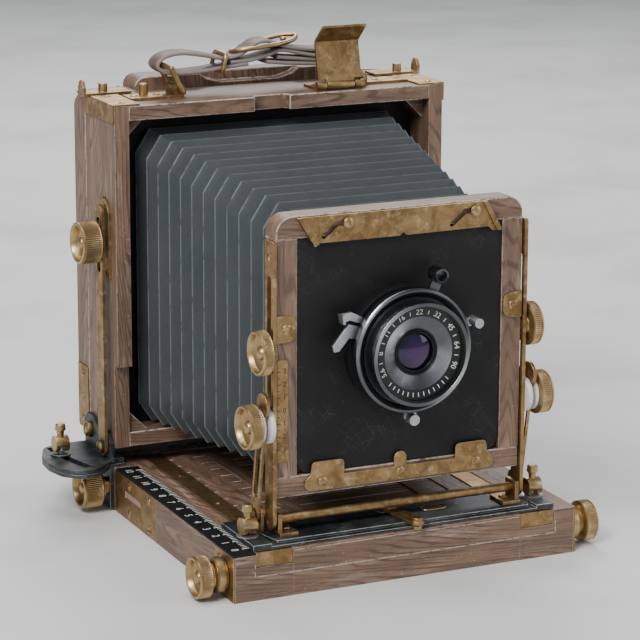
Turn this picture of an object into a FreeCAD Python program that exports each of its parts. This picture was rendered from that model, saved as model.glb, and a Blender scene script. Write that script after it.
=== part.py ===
"""Wooden folding field camera for 4x5 inch film, as separate named pieces.

Frame: millimetres, +Z up, +X to the right of someone facing the lens, lens looking along -Y.
The origin is the centre of the tripod socket on the bottom of the bed.
"""
import math
import os

import FreeCAD, Part

from FreeCAD import Vector

os.makedirs("parts", exist_ok=True)

# ---- driving dimensions ----
bed_width = 180.0
bed_length = 190.0
bed_height = 23.0
frame_width = 127.0        # lens frame, outside
frame_low = 43.8           # lens frame, bottom edge above the table
frame_high = 176.4         # lens frame, top edge
frame_front = 11.3         # lens frame, distance behind the front of the bed
frame_depth = 12.2
stile_width = 10.5
lens_z = 111.0             # lens axis above the table
shutter_radius = 29.75     # size 0 leaf shutter
shutter_front = -3.6       # front plane of the shutter ring
cell_radius = 24.5
cell_front = -11.1         # front rim of the front cell
filter_radius = 22.7       # inside wall of the filter thread
board_hole_radius = 17.3
box_half = 89.9            # rear box, half of its width
box_front = 145.1          # rear box, front edge
box_rear = 186.0
box_high = 208.0
wall = 7.5                 # rear box, side boards and top board
side_low = 76.6            # front edge of the side boards starts here
back_depth = 17.0
hump_high = 214.8          # raised middle of the back
knob_radius = 10.5
focus_knob_radius = 10.0
stud_radius = 2.0
fit = 0.05                 # radial clearance of pins and studs in their holes
gap = 0.3                  # clearance between pieces that pass one another
upright_u = 14.0           # centre line of the front uprights
rod_z = 33.0               # tie rod, the front standard tilts about it
strut_knob_z = 79.0
rise_knob_z = 113.5
strut_foot = (22.0, 34.0)  # lower pivot of the front struts
rear_pivot = (180.0, 36.0)  # the rear box tilts about this line
rear_strut_foot = (158.0, 33.0)
rear_strut_knob_z = 139.0
swing_u = 25.0             # upright axis that the front standard swings about
rear_swing_u = 183.0
plate_low = bed_height + gap   # underside of both carriages' plates


def Y(u):
    """Row Y of a place u millimetres behind the front face of the bed."""
    return u - bed_length / 2


def box(x0, x1, u0, u1, z0, z1):
    """Block between two X, two distances from the bed's front and two heights."""
    return Part.makeBox(x1 - x0, u1 - u0, z1 - z0, Vector(x0, Y(u0), z0))


def rod_x(x0, x1, u, z, r):
    """Cylinder along X."""
    return Part.makeCylinder(r, x1 - x0, Vector(x0, Y(u), z), Vector(1, 0, 0))


def rod_y(u0, u1, x, z, r):
    """Cylinder along Y."""
    return Part.makeCylinder(r, u1 - u0, Vector(x, Y(u0), z), Vector(0, 1, 0))


def rod_z_(z0, z1, x, u, r):
    """Cylinder along Z."""
    return Part.makeCylinder(r, z1 - z0, Vector(x, Y(u), z0), Vector(0, 0, 1))


def tube_y(u0, u1, x, z, r_out, r_in):
    """Ring or tube along Y."""
    return rod_y(u0, u1, x, z, r_out).cut(rod_y(u0 - 1, u1 + 1, x, z, r_in))


def prism(points, along):
    """Closed outline of row points, pushed along a vector."""
    corners = [Vector(*p) for p in points]
    return Part.Face(Part.makePolygon(corners + [corners[0]])).extrude(Vector(*along))


def slab_yz(points, x0, x1):
    """Outline of (u, z) points as a plate between two X."""
    return prism([(x0, Y(u), z) for u, z in points], (x1 - x0, 0, 0))


def slab_xy(points, z0, z1):
    """Outline of (x, u) points as a plate between two heights."""
    return prism([(x, Y(u), z0) for x, u in points], (0, 0, z1 - z0))


def slab_xz(points, u0, u1):
    """Outline of (x, z) points as a plate between two distances from the front."""
    return prism([(x, Y(u0), z) for x, z in points], (0, u1 - u0, 0))


def turned(points, origin, axis):
    """Closed (distance along the axis, radius) outline, revolved about the axis."""
    frame = Part.makePolygon([Vector(a, r, 0) for a, r in points + points[:1]])
    solid = Part.Face(frame).revolve(Vector(), Vector(1, 0, 0), 360)
    solid.Placement = FreeCAD.Placement(
        Vector(*origin), FreeCAD.Rotation(Vector(1, 0, 0), Vector(*axis))
    )
    return solid


def mirrored(shape):
    """The same shape on the other side of the camera."""
    return shape.mirror(Vector(), Vector(1, 0, 0))


def pair(shape):
    """A left-hand shape and its right-hand twin."""
    return [shape, mirrored(shape)]


def rounded(shape, radius, chosen):
    """Fillet on the edges that the test chooses."""
    return shape.makeFillet(radius, [e for e in shape.Edges if chosen(e)])


def upright_edge(e):
    """True for a straight edge along Z."""
    a, b = e.Vertexes[0].Point, e.Vertexes[-1].Point
    return abs(a.x - b.x) < 1e-6 and abs(a.y - b.y) < 1e-6


def stadium_yz(u0, z0, u1, z1, r, x0, x1):
    """Slot or link outline: everything within r of a line from (u0, z0) to (u1, z1)."""
    length = math.hypot(u1 - u0, z1 - z0)
    side_u, side_z = -(z1 - z0) / length * r, (u1 - u0) / length * r
    corners = [
        (u0 + side_u, z0 + side_z),
        (u1 + side_u, z1 + side_z),
        (u1 - side_u, z1 - side_z),
        (u0 - side_u, z0 - side_z),
    ]
    ends = [rod_x(x0, x1, u0, z0, r), rod_x(x0, x1, u1, z1, r)]
    return slab_yz(corners, x0, x1).fuse(ends).removeSplitter()


def knob(back, face, u, z, radius, stud_long):
    """Left-hand cupped thumb knob: |x| from back to face, with a stud of some length or none."""
    deep = face - back
    stud = [(-stud_long, 0), (-stud_long, stud_radius), (0, stud_radius)] if stud_long else [(0, 0)]
    outline = stud + [
        (0, radius - 1.0),
        (1.0, radius),
        (deep - 0.6, radius),
        (deep, radius - 0.6),
        (deep, radius - 1.5),
        (deep * 0.55, radius - 2.8),
        (deep * 0.45, 3.4),
        (deep - 1.6, 2.6),
        (deep - 1.0, 1.8),
        (deep - 0.8, 0),
    ]
    return turned(outline, (-back, Y(u), z), (-1, 0, 0))


def screw_head(x, u, z, axis):
    """Head of a round-head screw, standing on a surface and pointing along an axis."""
    outline = [(0, 0), (0, 1.9), (0.5, 1.9), (0.9, 1.2), (0.9, 0)]
    return turned(outline, (x, Y(u), z), axis)


# ---- bed ----
rail_inner = 59.7
channel_out = 70.3
channel_floor = 18.7
head_floor = 15.8
head_out = 78.2
channel_end = 166.3
shaft_u, shaft_z, shaft_radius = 12.0, 11.0, 2.5
pinion_radius = 4.3
scale_inner = 78.4
scale_end = 150.0


def bed_frame():
    """Side rails, channelled for the focusing rails, and the front and rear cross blocks."""
    rail = box(-bed_width / 2, -rail_inner, 0, bed_length, 0, bed_height)
    rail = rail.cut(box(-channel_out, -rail_inner + 1, -1, channel_end, channel_floor, 30))
    rail = rail.cut(box(-head_out, -rail_inner + 1, -1, 40.3, head_floor, 30))
    rail = rail.cut(rod_x(-100, -50, shaft_u, shaft_z, shaft_radius + fit))
    well = pinion_radius + 1.0
    rail = rail.cut(box(-69.5, -rail_inner + 1, shaft_u - well, shaft_u + well,
                        shaft_z - well, head_floor + 1))
    right = mirrored(rail)
    left = rail.cut(box(-100, -scale_inner, -1, scale_end, bed_height - 1, 30))
    for front in (0, 95.6):
        long = 22 if front == 0 else 56.4
        pocket = box(-100, -bed_width / 2 + 1.0, front - 1 * (front == 0), front + long, -1, bed_height - 1)
        left = left.cut(pocket)
        right = right.cut(mirrored(pocket))
    front = box(-rail_inner, rail_inner, 0, 24, 0, bed_height)
    front = front.cut(rod_x(-70, 70, shaft_u, shaft_z, shaft_radius + fit))
    return [left, right, front, box(-rail_inner, rail_inner, 166, bed_length, 0, bed_height)]


def bed_panel():
    """Planked floor of the bed, with the opening for the tripod plate below."""
    panel = box(-rail_inner, rail_inner, 24, 166, 0, bed_height - 0.8)
    for plank in range(1, 12):
        u = 24 + plank * 142 / 12
        panel = panel.cut(box(-70, 70, u - 0.3, u + 0.3, bed_height - 1.6, 30))
    return panel.cut(rod_z_(-1, 8, 0, bed_length / 2, 25))


socket_radius, socket_deep = 3.97, 7.0


def tripod_plate():
    """Round brass plate with the blind 3/8 inch socket."""
    plate = rod_z_(0, 8, 0, bed_length / 2, 25)
    plate = plate.cut(rod_z_(-1, socket_deep, 0, bed_length / 2, socket_radius))
    for turn in range(4):
        angle = math.radians(45 + 90 * turn)
        x, u = 18 * math.cos(angle), bed_length / 2 + 18 * math.sin(angle)
        plate = plate.cut(Part.makeCone(3.2, 1.2, 2.5, Vector(x, Y(u), 0)))
    return plate


def focus_scale():
    """Black strip let into the top of the left rail."""
    return box(-bed_width / 2, -scale_inner, 0, scale_end, bed_height - 1, bed_height)


def bed_side_plates():
    """Brass plates let into the sides of the bed, front and rear, on both sides."""
    front = box(-bed_width / 2, -bed_width / 2 + 1.0, 0, 22, 0.2, bed_height - 1)
    front = front.cut(rod_x(-100, -80, shaft_u, shaft_z, shaft_radius + fit))
    rear = box(-bed_width / 2, -bed_width / 2 + 1.0, 95.6, 152, 0.2, bed_height - 1)
    recess = box(-100, -bed_width / 2 + 0.4, 116.5, 137.5, 11.0, 14.6)
    return pair(front) + pair(rear.cut(recess))


# ---- focusing rails and their shaft ----
def focus_rails():
    """Brass focusing rails: wide heads at the front, strips running back in the channels."""
    head = box(-78.0, -60.0, 0.2, 40, 16.1, bed_height)
    strip = box(-70.0, -60.0, 40, 166, 19.0, bed_height - 0.2)
    return pair(head.fuse(strip).removeSplitter())


def focus_shaft():
    """Steel cross shaft with a pinion under each rail; the pinions are drums without teeth."""
    pinion = rod_x(-68.5, -60.5, shaft_u, shaft_z, pinion_radius)
    return rod_x(-93, 93, shaft_u, shaft_z, shaft_radius).fuse(pair(pinion)).removeSplitter()


def focus_knobs():
    """Left and right focusing knobs with their stepped collars."""
    inner, face = 98.0, 105.0
    body = knob(inner, face, shaft_u, shaft_z, focus_knob_radius, 0)
    collar = rod_x(-inner, -94.5, shaft_u, shaft_z, 6.5)
    step = rod_x(-94.5, -bed_width / 2 - gap, shaft_u, shaft_z, 8.5)
    bore = rod_x(-93.02, -80, shaft_u, shaft_z, shaft_radius)
    return pair(body.fuse([collar, step]).cut(bore).removeSplitter())


# ---- front carriage ----
carriage_half = 79.0
carriage_front, carriage_rear = 2.0, 40.0
disc = 69.3
pad_inner = 69.6
cam = (75.3, 17.2)


def carriage_plate():
    """Black base plate of the front standard, with a raised clamping pad at each side."""
    base = box(-carriage_half, carriage_half, carriage_front, carriage_rear, plate_low, plate_low + 1.2)
    pad = box(-carriage_half, -pad_inner, carriage_front, carriage_rear, plate_low + 1.2, plate_low + 2.6)
    pivot = rod_z_(plate_low + 1.2, plate_low + 2.9, 0, swing_u, 5)
    return base.fuse(pair(pad) + [pivot]).removeSplitter()


def cam_lever(x, u, base):
    """Cam clamp: slotted barrel across the camera, upright tapered lever with a flared end."""
    half, radius = 3.6, 4.2
    axis_z = base + radius + 0.6
    barrel = rod_x(x - half, x + half, u, axis_z, radius)
    barrel = barrel.cut(box(x - 1.3, x + 1.3, u - 6, u + 6, base, axis_z - 1.2))
    outline = [(0, 0), (0, 1.5), (4.2, 2.0), (4.6, 2.8), (7.4, 2.5), (8.0, 1.9), (8.0, 0)]
    stem = turned(outline, (x, Y(u), axis_z + 2.6), (0, 0, 1))
    return barrel.fuse(stem).removeSplitter()


def front_cam_left():
    """Left clamp of the front standard."""
    return cam_lever(-cam[0], cam[1], plate_low + 2.6)


def front_cam_right():
    """Right clamp of the front standard."""
    return cam_lever(cam[0], cam[1], plate_low + 2.6)


swing_low = plate_low + 1.5
swing_high = plate_low + 2.9


def front_swing_plate():
    """Black plate with round ends that swings on the base plate, and its brass index plate."""
    plate = box(-80, 80, carriage_front + 2, carriage_rear, swing_low, swing_high)
    plate = plate.common(rod_z_(0, 50, 0, swing_u, disc))
    plate = plate.cut(rod_z_(0, 50, 0, swing_u, 5 + fit))
    oval = box(15, 27, 14.2, 19.2, swing_high, swing_high + 0.6)
    oval = rounded(oval, 2.4, upright_edge)
    return [plate, oval]


def foot_brackets():
    """Brass feet of the uprights: inner angle brackets and outer tabs with the strut pins."""
    foot = box(-63.4, -54, upright_u - 7, upright_u + 7, swing_high, swing_high + 1.8)
    foot = foot.cut(rod_z_(0, 50, -57.6, upright_u, 1.6))
    tab = box(-63.4, -61.4, upright_u - 5, upright_u + 5, swing_high, 36.6)
    inner = foot.fuse(tab).cut(rod_x(-70, -50, upright_u, rod_z, 2.2 + fit)).removeSplitter()
    tab_u, tab_z = strut_foot
    outer = box(-68.4, -66.8, tab_u - 4.5, tab_u + 4.5, swing_high, tab_z)
    outer = outer.fuse([rod_x(-68.4, -66.8, tab_u, tab_z, 4.5), rod_x(-70.5, -67, tab_u, tab_z, stud_radius)])
    outer = outer.fuse(rod_x(-71.4, -70.5, tab_u, tab_z, 3.2)).removeSplitter()
    return pair(inner) + pair(outer)


def swing_lock_lever():
    """Brass index lever across the front plate: pivot boss behind, round pads above and below its tip."""
    top = swing_high + gap
    end_x, end_u, pivot_x, pivot_u = 3.2, -1.6, 1.0, 22.0
    bar = slab_xy([(end_x - 3.4, end_u), (end_x + 3.4, end_u), (5.0, 26), (-3.5, 26)], top, top + 1.6)
    bar = bar.fuse([rod_z_(top, top + 1.6, end_x, end_u, 3.4), rod_z_(top, top + 2.4, pivot_x, pivot_u, 2.8)])
    knob_above = rod_z_(top + 1.6, top + 3.4, end_x, end_u, 2.6)
    pin = rod_z_(24.2, top + 1.6, end_x, end_u, 1.2)
    foot = rod_z_(24.0, top - 0.6, end_x, end_u, 2.2)
    return bar.fuse([knob_above, pin, foot]).removeSplitter()


# ---- front uprights, struts, rise ----
def uprights():
    """Flat brass uprights, slotted for the rise, square at the top and round at the tie rod."""
    bar = stadium_yz(upright_u, rod_z, upright_u, 150.0, 4.6, -65.8, -64.0)
    head = box(-65.8, -64.0, upright_u - 4.6, upright_u + 4.6, 150, 165.5)
    bar = bar.fuse(rounded(head, 1.5, lambda e: e.BoundBox.ZMin > 165 and e.BoundBox.YLength < 0.01))
    bar = bar.removeSplitter().cut(stadium_yz(upright_u, 94.0, upright_u, 147.0, 2.2, -70, -60))
    bar = bar.cut(rod_x(-70, -60, upright_u, strut_knob_z, stud_radius + fit))
    bar = bar.cut(rod_x(-70, -60, upright_u, rod_z, 2.2))
    return pair(bar)


def tie_rod():
    """Brass rod that joins the feet of the uprights."""
    return rod_x(-65.8, 65.8, upright_u, rod_z, 2.2)


def front_struts():
    """Slotted brass struts from the feet up to the strut knobs, with a paddle at the top."""
    foot_u, foot_z = strut_foot
    top_u = upright_u - (foot_u - upright_u) * 10.0 / (strut_knob_z - foot_z)
    top_z = strut_knob_z + 10.0
    link = stadium_yz(foot_u, foot_z, top_u, top_z, 3.9, -70.3, -68.7)
    paddle = rod_x(-70.3, -68.7, top_u, top_z, 6.0)
    link = link.fuse(paddle)
    reach_u, reach_z = upright_u - foot_u, strut_knob_z - foot_z
    low, high = 0.25, 1.12
    slot = stadium_yz(foot_u + reach_u * low, foot_z + reach_z * low,
                      foot_u + reach_u * high, foot_z + reach_z * high, 2.4, -80, -60)
    link = link.cut([slot, rod_x(-80, -60, foot_u, foot_z, stud_radius + fit)])
    return pair(link.removeSplitter())


def strut_washers():
    """White nylon washers, inside and outside each strut."""
    inner = rod_x(-68.4, -65.9, upright_u, strut_knob_z, 8.5)
    outer = rod_x(-71.9, -70.6, upright_u, strut_knob_z, 8.0)
    bore = rod_x(-80, -60, upright_u, strut_knob_z, stud_radius + fit)
    return pair(inner.cut(bore)) + pair(outer.cut(bore))


def strut_knob_left():
    """Tilt clamp knob of the left upright."""
    return knob(72.1, 79.0, upright_u, strut_knob_z, knob_radius, 8.0)


def strut_knob_right():
    """Tilt clamp knob of the right upright."""
    return mirrored(strut_knob_left())


def rise_blocks():
    """Brass washers that slide over the slots of the uprights, under the rise knobs."""
    washer = rod_x(-66.7, -65.8 - fit, upright_u, rise_knob_z, 5.0)
    return pair(washer.cut(rod_x(-70, -60, upright_u, rise_knob_z, stud_radius + fit)))


def rise_knob_left():
    """Rise clamp knob, left."""
    return knob(66.8, 72.6, upright_u, rise_knob_z, knob_radius, 7.8)


def rise_knob_right():
    """Rise clamp knob, right."""
    return mirrored(rise_knob_left())


# ---- lens frame ----
half = frame_width / 2
inner_half = half - stile_width
frame_rear = frame_front + frame_depth
board_low, board_high = frame_low + 9.9, frame_high - 10.6
ledge_u = 15.8


def lens_frame_stiles():
    """Wooden stiles of the lens frame, between its rails, with a ledge behind the board."""
    stile = box(-half, -inner_half, frame_front, frame_rear, board_low, board_high)
    ledge = box(-inner_half, -inner_half + 5, ledge_u, frame_rear, board_low, board_high)
    stile = stile.fuse(ledge).removeSplitter()
    return pair(stile.cut(rod_x(-70, -58.5, upright_u, rise_knob_z, stud_radius + fit)))


def lens_frame_rails():
    """Top rail with round corners and bottom rail of the lens frame, with ledges behind the board."""
    low = box(-half, half, frame_front, frame_rear, frame_low, board_low)
    low = low.fuse(box(-inner_half + 5, inner_half - 5, ledge_u, frame_rear, board_low, board_low + 5))
    top = box(-half, half, frame_front, frame_rear, board_high, frame_high)
    top = rounded(top, 8.0, lambda e: e.BoundBox.ZMin > frame_high - 0.01 and e.BoundBox.XLength < 0.01)
    top = top.fuse(box(-inner_half + 5, inner_half - 5, ledge_u, frame_rear, board_high - 5, board_high))
    return [low.removeSplitter(), top.removeSplitter()]


lock_screws_x, lock_screw_z = (-28.4, 37.2), 171.8


def lens_fittings():
    """Brass on the lens frame: keeper plate with three tabs, stile tabs, and all their screws."""
    front = frame_front - 1.2
    side = [(47.0, 45.6), (48.9, 46.8), (49.6, 48.8), (49.0, 51.0), (46.4, 53.6), (45.8, 58.0), (45.0, 59.1),
            (43.8, 59.5), (31.2, 59.5), (29.7, 58.9), (29.2, 57.4), (29.2, 52.3), (3.2, 52.3), (3.2, 56.2)]
    keeper = slab_xz(side + [(-x, z) for x, z in side[::-1]], front, frame_front)
    keeper = keeper.fuse(rod_y(front, frame_front, 0, 56.2, 3.2)).removeSplitter()
    tab = slab_xz([(-half, 118.0), (-57.0, 118.5), (-54.4, 120.0), (-53.5, 122.0), (-53.5, 127.0),
                   (-54.6, 129.2), (-57.0, 130.3), (-half, 131.0)], front, frame_front)
    places = ((-40.3, 49.6), (0, 49.6), (40.3, 49.6), (-58.6, 124.5), (58.6, 124.5))
    screws = [screw_head(x, front, z, (0, -1, 0)) for x, z in places]
    for x in lock_screws_x:
        shank = rod_y(frame_front - 2.1, frame_front, x, lock_screw_z, 1.1)
        head = rod_y(frame_front - 3.0, frame_front - 2.1, x, lock_screw_z, 2.6)
        screws.append(shank.fuse(head).removeSplitter())
    return [keeper] + pair(tab) + screws


def lens_board():
    """Flat black lens board with round lower corners."""
    board = box(-inner_half + 0.2, inner_half - 0.2, 12.0, 15.5, board_low + 0.2, board_high - 0.2)
    board = rounded(board, 7.0, lambda e: e.BoundBox.ZMax < board_low + 1 and e.BoundBox.XLength < 0.01)
    return board.cut(rod_y(0, 30, 0, lens_z, board_hole_radius))


groove_near, groove_far = 2.0, 5.2


def shutter_body():
    """Leaf shutter: barrel with a lever groove, and the flash contact on a short arm."""
    barrel = tube_y(shutter_front + 4.2, 12.0, 0, lens_z, shutter_radius - 0.6, 15.2)
    barrel = barrel.cut(tube_y(groove_near, groove_far, 0, lens_z, 40, 26.3))
    face = tube_y(shutter_front + 1.0, shutter_front + 4.2, 0, lens_z, 25.6, 15.2)
    turn, reach = 66.9, 36.9
    x, z = reach * math.cos(math.radians(turn)), lens_z + reach * math.sin(math.radians(turn))
    contact = tube_y(-2.0, 6.5, x, z, 3.4, 2.4).fuse(rod_y(0.8, 6.5, x, z, 2.6))
    arm = box(26.0, reach - 1.5, 0.6, 1.9, lens_z - 2.6, lens_z + 2.6)
    arm.rotate(Vector(0, 0, lens_z), Vector(0, 1, 0), -turn)
    return barrel.fuse([face, contact, arm]).removeSplitter()


def speed_ring():
    """Chrome speed ring around the front of the shutter."""
    return turned([(0, 26.0), (0, shutter_radius), (3.0, shutter_radius), (3.8, shutter_radius - 0.9),
                   (3.8, 28.0), (2.6, 26.0)], (0, Y(shutter_front + 3.9), lens_z), (0, -1, 0))


def lens_cells():
    """Front cell with filter thread and conical bezel, and the rear cell behind the board."""
    depth = -cell_front + shutter_front + 0.7
    front = turned([(0, 9.6), (0, cell_radius - 1.0), (2.0, cell_radius), (depth, cell_radius),
                    (depth, filter_radius), (depth - 3.2, filter_radius), (depth - 3.2, 21.8),
                    (depth - 3.9, 17.4), (1.8, 10.6), (0.8, 9.6)],
                   (0, Y(shutter_front + 0.7), lens_z), (0, -1, 0))
    rear = turned([(0, 12.6), (0, 14.9), (22.0, 14.9), (22.0, 17.0), (26.0, 19.0), (34.0, 19.0),
                   (34.0, 12.6)],
                  (0, Y(0.2), lens_z), (0, 1, 0))
    return [front, rear, tube_y(15.6, 18.2, 0, lens_z, 21.0, 15.2)]


def lens_glass():
    """Front and rear elements: a cylinder closed by a dome on its outer side."""
    glasses = []
    for near, far, apex, bulge, radius in ((-6.5, 0.0, -5.2, 2.2, 9.4), (28.0, 33.5, 33.0, 2.0, 12.3)):
        ball = (radius * radius + bulge * bulge) / (2 * bulge)
        middle = apex + ball if near < 0 else apex - ball
        blank = rod_y(near, far, 0, lens_z, radius)
        glasses.append(blank.common(Part.makeSphere(ball, Vector(0, Y(middle), lens_z))))
    return glasses


lever_near, lever_far = 2.7, 4.4


def lever_arm(angle, reach, width):
    """Flat radial arm in the lever groove, out to a radius."""
    arm = box(26.8, reach, lever_near, lever_far, lens_z - width / 2, lens_z + width / 2)
    arm.rotate(Vector(0, 0, lens_z), Vector(0, 1, 0), -angle)
    return arm


def posted_lever(angle, reach, knob_r, front, arm_wide):
    """Radial arm with a round post at its end that points forwards."""
    a = math.radians(angle)
    x, z = reach * math.cos(a), lens_z + reach * math.sin(a)
    post = rod_y(front, lever_far, x, z, knob_r)
    return lever_arm(angle, reach, arm_wide).fuse(post).removeSplitter()


def aperture_lever():
    """Aperture pointer at the bottom of the shutter."""
    return posted_lever(-88, 33.6, 2.6, -2.0, 6.4)


def cocking_lever():
    """Cocking lever at the right of the shutter."""
    return posted_lever(16.6, 34.8, 2.3, -4.0, 4.2)


def release_lever():
    """Release lever: a bent blade at the left, pointing down."""
    return slab_xz([(-25.6, 124.0), (-31.0, 125.6), (-39.0, 115.8), (-38.2, 113.0), (-35.6, 113.2),
                    (-30.8, 118.8), (-25.8, 118.2)], lever_near, lever_far)


def preview_lever():
    """Preview lever: a short bent blade above the release lever."""
    blade = slab_xz([(-23.0, 127.8), (-29.6, 131.2), (-35.6, 130.6), (-35.0, 126.4), (-30.2, 127.4),
                     (-24.4, 125.2)], lever_near, lever_far)
    lip = slab_xz([(-35.6, 130.6), (-35.0, 126.4), (-33.8, 126.6), (-34.4, 130.7)],
                  lever_near - 3.0, lever_near + 0.2)
    return blade.fuse(lip).removeSplitter()


def lock_plate():
    """Sliding brass plate that holds the top of the lens board, with bent slots."""
    near, far = frame_front - 1.6, frame_front - 0.3
    plate = slab_xz([(-53.8, 175.6), (-45.2, 161.8), (-42.9, 163.2), (-1.8, 163.2), (0, 164.8), (1.8, 163.2),
                     (44.5, 163.6), (46.5, 161.6), (51.6, 161.6), (43.5, 175.8)], near, far)
    raised = near - 1.0
    left_rib = slab_xz([(-53.8, 175.6), (-45.2, 161.8), (-43.0, 163.1), (-51.2, 175.6)], raised, near + 0.2)
    right_rib = slab_xz([(41.2, 175.8), (48.8, 161.6), (51.6, 161.6), (43.5, 175.8)], raised, near + 0.2)
    plate = plate.fuse([left_rib, right_rib])
    arm, wide, drop = 5.2, 1.3, 5.5
    for x in lock_screws_x:
        z = lock_screw_z
        level = box(x - arm, x, near - 2, far + 1, z - wide, z + wide)
        ends = [rod_y(near - 2, far + 1, x, z, wide), rod_y(near - 2, far + 1, x - arm, z, wide)]
        ends.append(rod_y(near - 2, far + 1, x - arm - 6.6, z - drop, wide))
        low = x - arm - 6.6
        slope = slab_xz([(x - arm - 0.8, z + 1.0), (low - 0.8, z + 1.0 - drop), (low + 0.8, z - 1.0 - drop),
                         (x - arm + 0.8, z - 1.0)], near - 2, far + 1)
        plate = plate.cut([level, slope] + ends)
    return plate.removeSplitter()


# ---- rear carriage and swing ----
cheek_in, cheek_out = 90.4, 92.4
shelf_out = 122.0
shelf_low = bed_height - 0.5
rear_plate_top = plate_low + 1.2
swing_plate_low = rear_plate_top + gap
swing_plate_top = swing_plate_low + 2.0
clamp_u = 172.0
clamp_x = 111.5
lock_u, lock_z = 157.0, 12.3
bridge_front = 165.0        # front edge of both plates between their side arms
arm_inner = 84.0
carriage_arm_front = 152.5
swing_arm_front = 154.5


def shelf_outline(inner):
    """Left shelf outline from an inner X out to its rounded outer end."""
    return [(-inner, carriage_arm_front), (-97.5, 146.0), (-104, 141.0), (-113, 141.0),
            (-119.5, 149.0), (-shelf_out, 161.0),
            (-121.0, 174.0), (-115.5, 187.5), (-104.5, 191.0), (-inner, 191.0)]


def shelf_plate(inner, low, high):
    """Left shelf with softened outer corners."""
    plate = slab_xy(shelf_outline(inner), low, high)
    return rounded(plate, 7.0, lambda e: upright_edge(e) and e.BoundBox.XMax < -103)


def arms(front, low, high):
    """Plate across the bed with an arm reaching forwards at each side."""
    bridge = box(-cheek_out, cheek_out, bridge_front, 189, low, high)
    arm = box(-cheek_out, -arm_inner, front, bridge_front + 1, low, high)
    return bridge.fuse(pair(arm))


def arc_slot(low, high):
    """Slot that follows the swing of the rear, cut at the left clamp."""
    radius = math.hypot(clamp_x, clamp_u - rear_swing_u)
    ring = rod_z_(low, high, 0, rear_swing_u, radius + 2.4)
    ring = ring.cut(rod_z_(low - 1, high + 1, 0, rear_swing_u, radius - 2.4))
    return ring.common(box(-130, -95, 146, 186, low, high))


def rear_carriage_plate():
    """Black carriage: plate across the bed, side cheeks and lower shelves, with the clamp studs."""
    plate = arms(carriage_arm_front, plate_low, rear_plate_top)
    cheek = box(-cheek_out, -cheek_in, carriage_arm_front, 189, 1.0, rear_plate_top)
    cheek = cheek.cut(rod_x(-100, -80, lock_u, lock_z, stud_radius + fit))
    shelf = shelf_plate(cheek_out - 0.5, shelf_low, rear_plate_top)
    stud = rod_z_(rear_plate_top - 1, swing_plate_top + 1.5, -clamp_x, clamp_u, 1.6)
    stud = stud.fuse(rod_z_(swing_plate_top + 0.1, swing_plate_top + 0.9, -clamp_x, clamp_u, 5.2))
    left = cheek.fuse([shelf, stud])
    right = mirrored(left)
    pivot = rod_z_(rear_plate_top, swing_plate_top, 0, rear_swing_u, 4)
    return plate.fuse([left, right, pivot]).removeSplitter()


def rear_lock_knob():
    """Clamp knob of the rear carriage, in the left cheek."""
    return knob(96.8, 107.8, lock_u, lock_z, 10.0, 6.2)


def rear_swing_plate():
    """Upper black plate of the rear standard with its two side brackets."""
    plate = arms(swing_arm_front, swing_plate_low, swing_plate_top)
    plate = plate.cut(rod_z_(0, 50, 0, rear_swing_u, 4 + fit))
    shelf = shelf_plate(cheek_out - 1, swing_plate_low, swing_plate_top).cut(arc_slot(0, 50))
    su, sz = rear_strut_foot
    pu, pz = rear_pivot
    base = swing_plate_low + 1
    bracket = slab_yz([(151.5, base), (188, base), (188, 40), (184, 44), (176, 44),
                       (168, 37), (163, 40), (155, 40), (151.5, 36)], -cheek_out, -cheek_in)
    bracket = bracket.cut(rod_x(-100, -80, pu, pz, 2.5 + fit))
    pin = rod_x(-94.7, -cheek_out + 1, su, sz, stud_radius).fuse(rod_x(-95.7, -94.6, su, sz, 3.4))
    left = shelf.fuse([bracket, pin])
    return plate.fuse([left, mirrored(left)]).removeSplitter()


def rear_cam_left():
    """Swing clamp on the left shelf."""
    return rear_cam(-clamp_x)


def rear_cam_right():
    """Swing clamp on the right shelf."""
    return rear_cam(clamp_x)


def rear_cam(x):
    """Cam clamp above the washer of the shelf's stud."""
    return cam_lever(x, clamp_u, swing_plate_top + 1.2)


def rear_struts():
    """Slotted brass struts of the rear box, from the side brackets up to the tilt knobs."""
    u, z = rear_strut_foot
    link = stadium_yz(u, z, u, 153.0, 4.6, -94.5, -92.8)
    slot = stadium_yz(u, 126.0, u, 149.0, 2.5, -100, -90)
    link = link.cut([slot, rod_x(-100, -90, u, z, stud_radius + fit)])
    return pair(link)


# ---- rear box ----
box_low = 33.4
post_front = 150.0
inner_wall = box_half - wall


def rear_box_sides():
    """Side boards of the rear box; below their front edge they step back to posts."""
    side = box(-box_half, -inner_wall, box_front, box_rear, box_low, box_high)
    side = side.cut(box(-100, -70, 140, post_front, 0, side_low))
    return pair(side.cut(rod_x(-100, -80, rear_strut_foot[0], rear_strut_knob_z, stud_radius + fit)))


def rear_box_top():
    """Top board with a shallow notch in its front edge."""
    top = box(-inner_wall, inner_wall, box_front, box_rear, box_high - wall, box_high)
    notch = rounded(box(-15, 4, box_front - 6, box_front + 4.5, 190, 220), 2.5,
                    lambda e: upright_edge(e) and e.BoundBox.YMin > Y(box_front))
    return top.cut(notch)


def rear_box_sill():
    """Bottom rail of the rear box and the wooden blocks in its four corners."""
    sill = box(-inner_wall, inner_wall, post_front, box_rear, box_low, box_low + wall)
    blocks = []
    for z, up in ((box_low + wall, 1), (box_high - wall, -1)):
        corner = slab_xz([(-inner_wall, z), (-inner_wall + 11, z), (-inner_wall, z + 11 * up)], 152.5, 166)
        blocks += pair(corner)
    return [sill] + blocks


bellows_plate_front, bellows_plate_rear = 166.2, 170.0


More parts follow.
